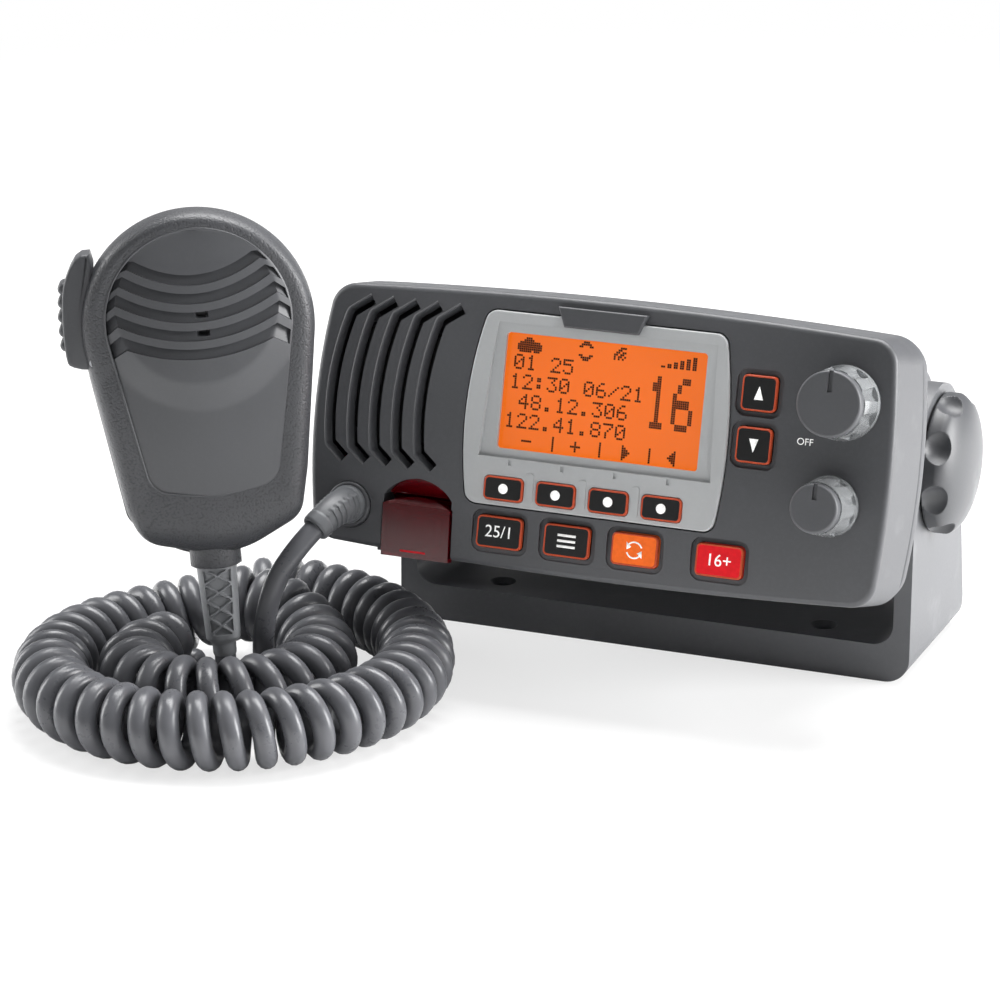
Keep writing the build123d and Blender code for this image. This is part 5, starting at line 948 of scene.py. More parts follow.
# ================================================================ cords
@dataclass
class CordSet:
    """The curly cord and the two leads at its ends, and the three points that the head's boot follows."""

    wire_radius: float = 2.9
    helix_radius: float = 7.8
    helix_pitch: float = 7.1
    rings_per_turn: int = 30
    sides: int = 14
    coil_centre: tuple[float, float] = (-96.2, -110.9)
    coil_turns: float = 1.88
    coil_points: int = 31
    coil_radius: float = 63.2
    coil_fall: float = 27.3
    inner_fall: float = 18.0
    inner_from: float = 1.3
    coil_start: float = 105.0
    coil_height: float = 10.7
    hump: float = 6.6
    hump_at: float = 1.03
    hump_reach: float = 17.0
    lead_step: float = 1.2
    fade_turns: float = 1.3
    helix_start: float = 200.0
    boot_root: tuple[float, float, float] = (-69.5, -78.2, 49.9)
    boot_knee: tuple[float, float, float] = (-69.5, -85.5, 51.7)
    boot_end: tuple[float, float, float] = (-72.9, -92.5, 46.8)
    floor_run: tuple = ((-81.0, -103.4, 32.5), (-83.2, -105.5, 17.0), (-85.4, -98.5, 3.4),
                        (-92.5, -84.5, 3.1), (-99.6, -70.0, 3.2), (-108.0, -57.5, 5.0))
    inner_end: tuple[float, float, float] = (-106.2, -104.7, 3.6)

    def coil_route(self) -> np.ndarray:
        """Return the coil's middle line from its outer to its inner end.

        A flat spiral that runs clockwise; its radius falls by coil_fall a turn, and by inner_fall from
        the turn inner_from on. It humps by h exp(-d^2) where it crosses the lead.

        Returns:
            An array (coil_points, 3) in millimetres.
        """
        turn = self.coil_turns * np.arange(self.coil_points) / (self.coil_points - 1)
        radius = self.coil_radius - self.coil_fall * np.minimum(turn, self.inner_from) \
            - self.inner_fall * np.maximum(turn - self.inner_from, 0)
        angle = np.radians(self.coil_start - 360.0 * turn)
        away = (turn - self.hump_at) * 2 * pi * radius / self.hump_reach
        return np.column_stack([self.coil_centre[0] + radius * np.cos(angle),
                                self.coil_centre[1] + radius * np.sin(angle),
                                self.coil_height + self.hump * np.exp(-away ** 2)])

    def route(self, microphone: Axes) -> np.ndarray:
        """Return the whole cord's control points.

        Args:
            microphone: the microphone's axes.

        Returns:
            An array (count, 3) in millimetres, from the head to the microphone.
        """
        end = np.array(self.boot_end)
        leaving = end - np.array(self.boot_knee)
        leaving /= np.linalg.norm(leaving)
        below = microphone.place(np.array([[0, -10.4, 0], [0, 0, 0]])) / MM
        return np.concatenate([[end + leaving * 0.02, end + leaving * 8.0], self.floor_run,
                               self.coil_route(), [self.inner_end], below])

    def middle_line(self, points: np.ndarray) -> np.ndarray:
        """Return the smooth NURBS line of the control points.

        Args:
            points: the control points, in millimetres.

        Returns:
            Points 0.1 mm apart, in millimetres.
        """
        data = bpy.data.curves.new("cord_line", "CURVE")
        data.dimensions = "3D"
        spline = data.splines.new("NURBS")
        spline.points.add(len(points) - 1)
        spline.points.foreach_set("co", np.column_stack([points * MM, np.ones(len(points))]).ravel())
        spline.order_u, spline.use_endpoint_u, spline.resolution_u = 3, True, 40
        holder = bpy.data.objects.new("cord_line", data)
        bpy.context.scene.collection.objects.link(holder)
        mesh = bpy.data.meshes.new_from_object(holder)
        line = np.zeros(len(mesh.vertices) * 3)
        mesh.vertices.foreach_get("co", line)
        bpy.data.objects.remove(holder)
        bpy.data.meshes.remove(mesh)
        line = line.reshape(-1, 3) / MM
        along = travelled_along(line)
        return spread(line, along, np.linspace(0, along[-1], int(along[-1] / 0.1)))

    def build(self, microphone: Axes) -> None:
        """Build both cords.

        Args:
            microphone: the microphone's axes.
        """
        line = self.middle_line(self.route(microphone))
        along = travelled_along(line)
        starts, ends = (along[np.linalg.norm(line - end, axis=1).argmin()]
                        for end in self.coil_route()[[0, -1]])
        wire, split = self.wind(line, along, starts, ends)
        self.lead(wire[:split + 1])
        self.curl(wire[split:][::-1])

    def wind(self, line: np.ndarray, along: np.ndarray, starts: float, ends: float) -> tuple[np.ndarray, int]:
        """Wind the wire round the coil's line.

        The wire's point is line + r (cos a * first + sin a * second). The angle a grows by a full turn
        each pitch; r is the helix radius in the coil and fades to nothing on the leads.

        Args:
            line: the middle line, evenly spaced.
            along: how far along it each point lies.
            starts: where the coil begins.
            ends: where it ends.

        Returns:
            The wire's middle line, and the index at which the lead hands over to the curly part.
        """
        fade = self.helix_pitch * self.fade_turns
        spacing = self.helix_pitch / self.rings_per_turn
        low, high = starts - fade, ends + fade
        places = np.concatenate([np.arange(0, low, self.lead_step), np.arange(low, high, spacing),
                                 np.arange(high, along[-1], self.lead_step), [along[-1]]])
        path = spread(line, along, places)
        first, second = carried_normals(path)
        reach = self.helix_radius * smooth(low, starts, places) * (1 - smooth(ends, high, places))
        reach = np.minimum(reach, np.maximum(path[:, 2] - self.wire_radius - 0.1, 0.0))
        turn = (np.clip(places, low, high) - low) / self.helix_pitch * 2 * pi
        turn = turn[:, None] + radians(self.helix_start)
        wire = path + reach[:, None] * (np.cos(turn) * first + np.sin(turn) * second)
        return wire, int(np.searchsorted(places, low - 6.0))

    def lead(self, wire: np.ndarray) -> None:
        """Build the plain lead that hangs from the head's boot and runs out under the coil.

        Args:
            wire: its middle line, in millimetres.
        """
        grid = tube_grid(wire, self.wire_radius, self.sides + 6)
        shape = ring_shape(grid * MM, True, True)
        piece = make_piece("radio_lead_jacket", shape, CORD_GREY, None)
        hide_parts("radio_lead")
        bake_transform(piece)
        tuple(wire[0] * MM)
        (wire * MM).tolist()
        LOG.info("radio lead %.1f mm", travelled_along(wire)[-1])

    def curl(self, wire: np.ndarray) -> None:
        """Build the lead below the microphone and the curly cord that it runs into.

        Args:
            wire: their middle line from the microphone on, in millimetres.
        """
        grid = tube_grid(wire, self.wire_radius, self.sides)
        shape = ring_shape(grid * MM, True, True)
        piece = make_piece("curly_cord_jacket", shape, CORD_GREY, ROOT)
        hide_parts("curly_cord", "mic_lead")
        tuple(wire[0] * MM)
        (wire * MM).tolist()
        LOG.info("curly cord %.1f mm", travelled_along(wire)[-1])


# ================================================================ microphone
@dataclass
class Microphone:
    """The fist microphone's case, louvred panel, boot and the nodes that keep their own shape."""

    axes: Axes
    case_circles: tuple = ((1.25, 90.9, 31.3), (1.8, 54.4, 25.6), (-14.0, 44.5, 8.8),
                           (-12.0, 41.0, 9.3), (17.6, 42.2, 7.6))
    crown: float = 14.5
    outline_points: int = 240
    crown_middle: float = 78.65
    crown_falls: tuple[float, float] = (170.0, 480.0)
    panel_circles: tuple = ((0, 93.0, 24.7), (-11.4, 53.5, 6.3), (11.4, 53.5, 6.3), (0, 61.0, 15.5))
    panel_ends: tuple[float, float] = (45.55, 117.65)
    panel_shift: float = 1.8
    disc_centre: float = 98.1
    disc_radius: float = 21.5
    disc_foot: float = 28.5
    disc_rise: float = 2.1
    louvre_top: float = 105.7
    louvre_foot: float = 83.0
    louvre_pitch: float = 4.9
    louvre_gap: float = 2.8
    louvre_depth: float = 1.9
    louvres: int = 5
    hole_at: float = 1.0
    hole_half: float = 1.45
    hole_depth: float = 2.6
    lever_half: float = 6.4
    bumps: tuple = (88.8, 92.6, 96.4, 100.2, 103.8)
    bump_radius: float = 1.75
    bump_half: float = 5.3
    bead_profile: tuple = ((0.30, -0.5), (0.30, 0.0), (0.13, 0.16), (-0.12, 0.16), (-0.30, 0.0),
                           (-0.30, -0.5))
    collar_profile: tuple = ((5.4, 25.3), (6.3, 25.1), (6.75, 25.35), (6.95, 25.9), (6.95, 31.0),
                             (6.95, 38.0))

    def pear(self) -> np.ndarray:
        """Return the case's outline."""
        return hull_outline(list(self.case_circles), self.outline_points)

    def panel(self, grow: float = 0.0) -> np.ndarray:
        """Return the smooth panel's outline."""
        circles = [(u, v, radius + grow) for u, v, radius in self.panel_circles]
        return hull_outline(circles, self.outline_points) + np.array([self.panel_shift, 0.0])

    def cushion(self, x: np.ndarray, y: np.ndarray) -> np.ndarray:
        """Return the crowned front's height, which falls with the squares of x and y."""
        sideways, lengthwise = self.crown_falls
        return self.crown - x ** 2 / sideways - (y - self.crown_middle) ** 2 / lengthwise

    def disc(self, x: np.ndarray, y: np.ndarray) -> np.ndarray:
        """Return how far the surface falls outside the raised louvred disc.

        Args:
            x: places across the case.
            y: places along it.

        Returns:
            0 on the disc, and -disc_rise beyond its foot.
        """
        reach = np.hypot(x - self.panel_shift, y - self.disc_centre)
        slope = np.clip((reach - self.disc_radius) / (self.disc_foot - self.disc_radius), 0, 1)
        return -self.disc_rise * slope

    def rim(self) -> Shape:
        """Return the grained rim.

        Across the rim the outline's share of the way inwards is 1 - cos(a)^0.62 and its height is
        sin(a)^0.62 of the panel's edge, so the side stands up and rolls over into the front.

        Returns:
            An open ring from the back's edge to the panel.
        """
        outer, inner = self.pear(), self.panel(0.3)
        height = self.cushion(inner[:, 0], inner[:, 1]) + self.disc(inner[:, 0], inner[:, 1])
        swing = np.radians(np.array([0, 4, 8, 14, 20, 28, 36, 44, 52, 60, 68, 75, 81, 86, 90]))[:, None]
        roll = 0.62
        share = 1 - np.abs(np.cos(swing)) ** roll
        share[-1] = 1.0
        flat = outer[None] * (1 - share[..., None]) + inner[None] * share[..., None]
        front = np.concatenate([flat, (np.sin(swing) ** roll * height)[..., None]], axis=-1)
        middle = outer.mean(axis=0)
        skirt = [np.column_stack([middle + (outer - middle) * size, np.full(len(outer), level)])
                 for size, level in ((0.90, -1.6), (0.965, -1.5), (0.99, -1.1))]
        return ring_shape(self.axes.place(np.concatenate([np.array(skirt), front])))

    def bead(self) -> Shape:
        """Return the thin raised line round the panel.

        Returns:
            A small trapezium carried along the panel's outline.
        """
        rows = []
        for grow, lift in self.bead_profile:
            line = self.panel(grow)
            height = self.cushion(line[:, 0], line[:, 1]) + self.disc(line[:, 0], line[:, 1]) + lift
            rows.append(np.column_stack([line, height]))
        return ring_shape(self.axes.place(np.array(rows)))

    def louvred_panel(self) -> Shape:
        """Return the panel as a height field on rows that follow the louvres' smiles.

        A row named by its height w at the middle runs at y = w + k(w) min(|x|, c)^2 - f(w) max(|x| - c, 0),
        a smile that folds down where it leaves the disc. Across a louvre the surface drops sharply by the
        depth, slopes back up for the gap's width and steps up to the next bar.

        Returns:
            An open sheet.
        """
        levels = self.row_levels()
        w = levels[:, None]
        foot, top = self.panel_ends
        marks = np.array([foot, 60, 75, 83.5, 86.1, 91.0, 95.9, 100.8, self.louvre_top, top])
        k = np.interp(w, marks, [0, 0, 0.007, 0.0101, 0.0111, 0.012, 0.0138, 0.0161, 0.0194, 0.0194])
        c = np.interp(w, marks, [9, 12, 16.5, 19.4, 20.8, 21.8, 20.9, 18.9, 15.6, 3.0])
        f = np.interp(w, marks, [0, 0, 0.1, 0.62, 0.75, 0.8, 0.8, 0.5, 0.0, 0.0])
        outline = self.panel() - np.array([self.panel_shift, 0.0])
        half = self.half_width(w, k, c, f, outline)
        c = np.minimum(c, half * 0.93)
        inner = np.linspace(-1, 1, 61)
        edge = np.array([0.10, 0.25, 0.45, 0.65, 0.82, 0.93, 1.0])
        x = np.concatenate([-(c + (half - c) * edge[::-1]), c * inner, c + (half - c) * edge], axis=1)
        y = w + k * np.minimum(np.abs(x), c) ** 2 - f * np.maximum(np.abs(x) - c, 0)
        z = self.cushion(x, y) + self.disc(x + self.panel_shift, y) + self.louvre_height(w)
        across = np.clip(np.abs(x) / np.maximum(half, 1e-6), 0, 1)
        dip = 0.35 * smooth(self.louvre_top, self.louvre_top + 3.0, w) * (1 - across ** 2)
        z = z + self.sound_holes(x, w) - dip
        return sheet_shape(self.axes.place(np.stack([x + self.panel_shift, y, z], axis=-1)))

    def row_levels(self) -> np.ndarray:
        """Return where the panel's rows cross its middle line.

        Returns:
            Heights from its foot to its top, close together at each louvre's edges.
        """
        edges = self.louvre_top - self.louvre_pitch * np.arange(self.louvres)
        cuts = np.array([0.0, -0.10, -0.5, -1.1, -1.8, -2.4, -2.68, -2.80, -3.1, -3.8, -4.5])
        louvre = (edges[:, None] + cuts[None]).ravel()
        louvre = louvre[louvre > self.louvre_foot]
        foot, top = self.panel_ends
        below = np.concatenate([foot + np.array([0.0, 0.15, 0.5, 1.1]), np.linspace(47.6, 82.6, 38)])
        above = np.concatenate([np.linspace(106.2, 116.4, 16), top - np.array([0.55, 0.15, 0.0])])
        return np.sort(np.concatenate([below, louvre, above]))

    def louvre_height(self, w: np.ndarray) -> np.ndarray:
        """Return the louvres' saw-tooth: a sharp drop below each bar, then a slope up to the next.

        Args:
            w: the rows' heights at the middle line.

        Returns:
            0 on the bars, down to -louvre_depth in the gaps.
        """
        below = np.mod(self.louvre_top - w, self.louvre_pitch)
        tooth = np.interp(below, [0.0, 0.10, self.louvre_gap - 0.12, self.louvre_gap, self.louvre_pitch],
                          [0.0, -self.louvre_depth, -0.75, 0.0, 0.0])
        foot = self.louvre_top - self.louvre_pitch * self.louvres
        inside = (w <= self.louvre_top + 1e-6) & (w >= foot + 1e-6)
        return np.where(inside, tooth, 0.0)

    def sound_holes(self, x: np.ndarray, w: np.ndarray) -> np.ndarray:
        """Return the depth of the two sound holes, at the middle of the third and fourth gaps.

        Args:
            x: places across the case.
            w: the rows' heights at the middle line.

        Returns:
            An array of both, 0 outside the holes.
        """
        depth = np.zeros(np.broadcast(x, w).shape)
        for index in (2, 3):
            edge = self.louvre_top - index * self.louvre_pitch
            inside = (np.abs(x - self.hole_at) < self.hole_half) & (w < edge - 0.3) & (w > edge - 1.5)
            depth = depth - self.hole_depth * inside
        return depth

    @staticmethod
    def half_width(w: np.ndarray, k: np.ndarray, c: np.ndarray, f: np.ndarray,
                   outline: np.ndarray) -> np.ndarray:
        """Return where each row meets the panel's outline, found by halving an interval.

        Args:
            w: the rows' heights at the middle line.
            k: how strongly each row smiles.
            c: where its smile ends.
            f: how steeply it falls from there.
            outline: the panel's outline.

        Returns:
            The distance from the middle line, for each row.
        """
        right = outline[outline[:, 0] >= -1e-6]
        right = right[np.argsort(right[:, 1])]
        low, high = np.zeros_like(w), np.full_like(w, 26.0)
        for _ in range(40):
            x = (low + high) / 2
            y = w + k * np.minimum(x, c) ** 2 - f * np.maximum(x - c, 0)
            inside = np.interp(y, right[:, 1], right[:, 0], left=0.0, right=0.0) > x
            low, high = np.where(inside, x, low), np.where(inside, high, x)
        return np.maximum(low, 0.02)

    def collar(self) -> Shape:
        """Return the front half of the collar round the boot.

        Returns:
            A rounded band turned about the up axis.
        """
        profile = np.array(self.collar_profile)
        around = np.radians(np.linspace(180, 360, 41))
        grid = np.stack([profile[:, :1] * np.cos(around), np.broadcast_to(profile[:, 1:], (len(profile), 41)),
                         -profile[:, :1] * np.sin(around)], axis=-1)
        return sheet_shape(self.axes.place(grid)[:, ::-1])

    def boot(self) -> Shape:
        """Return the strain relief: a rounded-square tapering sleeve with a lattice window front and back.

        The section is |x/a|^2.8 + |z/b|^2.8 = 1. Inside the window the surface sinks by 1 mm except on
        bars that cross as |x| = |saw(y)|, so they leave a column of diamonds.

        Returns:
            A closed sleeve.
        """
        y = np.concatenate([np.linspace(0.0, 3.4, 6), np.linspace(3.5, 5.6, 8),
                            np.linspace(5.75, 25.2, 131)])[:, None]
        around = np.linspace(0, 2 * pi, 112, endpoint=False)[None]
        half = np.interp(y, [0, 0.3, 3.4, 3.5, 4.9, 25.2], [2.95, 3.2, 3.25, 3.3, 4.7, 5.45])
        power = np.interp(y, [3.4, 5.0], [2.0, 2.8])
        unit = (np.abs(np.cos(around)) ** power + np.abs(np.sin(around)) ** power) ** (-1 / power)
        x, z = half * unit * np.cos(around), half * unit * np.sin(around)
        window = np.interp(y, [6.2, 24.0], [3.1, 4.05])
        cell_start, cell_pitch, sink = 6.6, 4.6, 1.0
        cell = np.mod((y - cell_start) / cell_pitch, 1.0)
        across = np.abs(x) / window
        bars = np.abs(across - np.abs(2 * cell - 1)) * window * 0.8
        sunk = smooth(0.42, 0.62, bars) * (1 - smooth(0.86, 0.94, across)) * (np.abs(z) > half * 0.55)
        sunk = sunk * smooth(6.3, 6.5, y) * (1 - smooth(24.3, 24.5, y))
        z = z - np.sign(z) * sink * sunk
        grid = np.stack([x, np.broadcast_to(y, x.shape), -z], axis=-1)
        return ring_shape(self.axes.place(grid), True, True)

    def lever(self) -> Shape:
        """Return the push-to-talk lever.

        Returns:
            A bent bar along the case with five rounded finger bumps.
        """
        bar = softened([(-24.4, 112.6), (-28.6, 112.6), (-31.6, 108.4), (-33.4, 103.4), (-34.1, 97.0),
                        (-34.3, 90.0), (-34.0, 84.4), (-33.2, 83.1), (-29.2, 81.8), (-27.2, 82.4),
                        (-26.6, 90.0), (-26.0, 100.0)], 260, 1)
        shape = bevelled(bar, -self.lever_half, self.lever_half, 0.9, self.axes)
        turn = np.linspace(0, 2 * pi, 28, endpoint=False)
        circle = self.bump_radius * np.column_stack([np.cos(turn), np.sin(turn)])
        for height in self.bumps:
            reach = np.interp(height, [85.0, 90.0, 97.0, 103.6], [-33.6, -33.9, -33.7, -33.0]) + 0.15
            bump = circle + np.array([reach, height])
            shape = shape + bevelled(bump, -self.bump_half, self.bump_half, 1.2, self.axes)
        return shape

    def build(self) -> None:
        """Build the new pieces and dress the nodes that stay."""
        shell = make_piece("mic_front_rim", self.rim() + self.collar(), GRAINED_GREY, ROOT)
        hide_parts("mic_front_shell")
        make_piece("mic_panel_bead", self.bead(), PANEL_GREY, ROOT)
        make_piece("mic_louvred_panel", self.louvred_panel(), PANEL_GREY, ROOT, sharp=24.0)
        boot = make_piece("mic_boot_lattice", self.boot(), BOOT_GREY, ROOT, sharp=50.0)
        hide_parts("mic_strain_relief")
        dress(GRAINED_GREY, "mic_back_shell")
        lever = make_piece("mic_talk_lever", self.lever(), LEVER_GREY, "push_to_talk")
        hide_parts("ptt_lever")
        dress(STEEL, "mic_hanger_stud", "mic_screws", "ptt_pin")
        dress(LAMINATE, "mic_circuit_board")
        dress(BLACK_PLASTIC, "mic_capsule", "ptt_switch")


# ================================================================ head
class Mark(Enum):
    """What a key carries on its face."""

    DOT = "dot"
    UP = "up"
    DOWN = "down"
    POWER = "25/1"
    LIST = "list"
    REPLAY = "replay"
    SIXTEEN = "16+"


@dataclass(frozen=True)
class Key:
    """One key: its name, centre, size, sign and cap finish."""

    name: str
    at: tuple[float, float]
    size: tuple[float, float]
    mark: Mark
    cap: Finish = KEY_BLACK

    @property
    def soft(self) -> bool:
        """Whether the key sits in the raised display trim."""
        return self.name.startswith("soft")


CROWN_RADIUS = 286.41
CROWN_CENTRE = -217.01


def crown_at(v: float | np.ndarray) -> np.ndarray:
    """Return how far out the crowned face, part of a cylinder, lies at the height v."""
    return CROWN_CENTRE + np.sqrt(CROWN_RADIUS ** 2 - np.asarray(v) ** 2)


@dataclass
class Keypad:
    """The keys' caps, their orange rims and their signs."""

    axes: Axes
    soft_size: tuple[float, float] = (11.2, 6.4)
    low_size: tuple[float, float] = (13.0, 8.6)
    channel_size: tuple[float, float] = (9.6, 9.4)
    corner: float = 1.3
    stand: float = 0.5
    trim_raise: float = 0.6
    dot_radius: float = 1.35
    rim_profile: tuple = ((-0.05, 1.3), (-0.05, 0.30), (0.02, 0.05), (0.14, -0.06), (0.38, -0.06),
                          (0.48, 0.03))

    def keys(self) -> list[Key]:
        """Return every key.

        Returns:
            The four soft keys, the lower row and the two channel keys.
        """
        soft = [Key(f"soft_key_{i + 1}", (-24.3 + 15.05 * i, -16.5), self.soft_size, Mark.DOT)
                for i in range(4)]
        return soft + [
            Key("power_level_key", (-24.9, -28.5), self.low_size, Mark.POWER),
            Key("menu_key", (-5.4, -28.5), self.low_size, Mark.LIST),
            Key("replay_key", (14.0, -28.5), self.low_size, Mark.REPLAY, KEY_ORANGE),
            Key("channel_16_key", (37.8, -28.5), self.low_size, Mark.SIXTEEN, KEY_RED),
            Key("channel_up_key", (44.6, 16.8), self.channel_size, Mark.UP),
            Key("channel_down_key", (44.6, 3.1), self.channel_size, Mark.DOWN)]

    def top(self, key: Key) -> float:
        """Return how far out the key's cap reaches."""
        return float(crown_at(key.at[1])) + self.stand + (self.trim_raise if key.soft else 0.0)

    def rim(self, key: Key) -> Shape:
        """Return the coloured rim.

        Args:
            key: the key that it belongs to.

        Returns:
            A small rounded profile carried round the cap's edge.
        """
        top, rows = self.top(key), []
        for inset, drop in self.rim_profile:
            width, height = (side - 2 * inset for side in key.size)
            line = rounded_rectangle(width, height, self.corner - inset * 0.8, 72)
            rows.append(np.column_stack([line + np.array(key.at), np.full(len(line), top - drop)]))
        return ring_shape(self.axes.place(np.array(rows)))

    def sign(self, key: Key) -> Shape:
        """Return the key's sign as flat white outlines.

        Args:
            key: the key that carries it.

        Returns:
            One shape just above the cap.
        """
        at = np.array(key.at)
        around = np.linspace(0, 2 * pi, 40, endpoint=False)
        outlines: list[np.ndarray] = []
        if key.mark is Mark.DOT:
            outlines = [self.dot_radius * np.column_stack([np.cos(around), np.sin(around)])]
        elif key.mark in (Mark.UP, Mark.DOWN):
            arrow = np.array([(-1.25, -1.7), (1.25, -1.7), (0.0, 1.9)])
            outlines = [arrow if key.mark is Mark.UP else -arrow]
        elif key.mark is Mark.LIST:
            outlines = [np.array([(-2.6, y - 0.32), (2.6, y - 0.32), (2.6, y + 0.32), (-2.6, y + 0.32)])
                        for y in (-1.5, 0.0, 1.5)]
        elif key.mark is Mark.REPLAY:
            outlines = self.round_arrows()
        return flat_shape([outline + at for outline in outlines], self.top(key) + 0.04, self.axes)

    @staticmethod
    def round_arrows(radius: float = 2.15, width: float = 0.42, head: float = 0.95) -> list[np.ndarray]:
        """Return two arrows that chase each other round a circle.

        Args:
            radius: the circle's radius.
            width: how wide the bands are.
            head: how far the arrow heads reach to each side of the circle.

        Returns:
            The outlines of two bent bands and of their heads.
        """
        outlines = []
        for start in (20.0, 200.0):
            arc = np.radians(np.linspace(start, start + 118.0, 14))
            ring = [np.column_stack([np.cos(arc), np.sin(arc)]) * (radius + s * width / 2) for s in (1, -1)]
            outlines.append(np.concatenate([ring[0], ring[1][::-1]]))
            tip, base = radians(start + 160.0), arc[-1]
            outlines.append(np.array([(reach * cos(turn), reach * sin(turn)) for reach, turn in (
                (radius + head, base), (radius, tip), (radius - head, base))]))
        return outlines

    def build(self) -> None:
        """Dress the caps and add their rims and signs."""
        for key in self.keys():
            body = f"{key.name}_cap"
            dress(key.cap, key.name)
            make_piece(f"{key.name}_rim", self.rim(key), KEY_RIM, body)
            if key.mark in (Mark.POWER, Mark.SIXTEEN):
                at = (*key.at, self.top(key) + 0.02)
                print_text(f"{key.name}_sign", key.mark.value, 4.6, self.axes, at, body)
            else:
                make_piece(f"{key.name}_sign", self.sign(key), MARK_WHITE, body, thickness=0.06)


def print_text(name: str, words: str, height: float, axes: Axes, at: tuple[float, float, float],
               body: str) -> None:
    """Print numbers or a switch word as thin raised ink.

    Args:
        name: the piece's name.
        words: what is printed.
        height: the letters' size in millimetres.
        axes: the axes that the print faces.
        at: the middle of the print.
        body: the body it rides on.
    """
    data = bpy.data.curves.new(name, "FONT")
    data.body, data.size, data.extrude = words, height * MM, 0.02 * MM
    data.align_x, data.align_y, data.resolution_u = "CENTER", "CENTER", 6
    holder = bpy.data.objects.new(f"{name}_outline", data)
    bpy.context.scene.collection.objects.link(holder)
    mesh = bpy.data.meshes.new_from_object(holder)
    bpy.data.objects.remove(holder)
    mesh.transform(axes.matrix(at))
    mesh.materials.clear()
    mesh.materials.append(MARK_WHITE.material())
    piece = bpy.data.objects.new(name, mesh)
    bpy.context.scene.collection.objects.link(piece)
    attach(piece, body)
    LOG.info("%s: print", name)


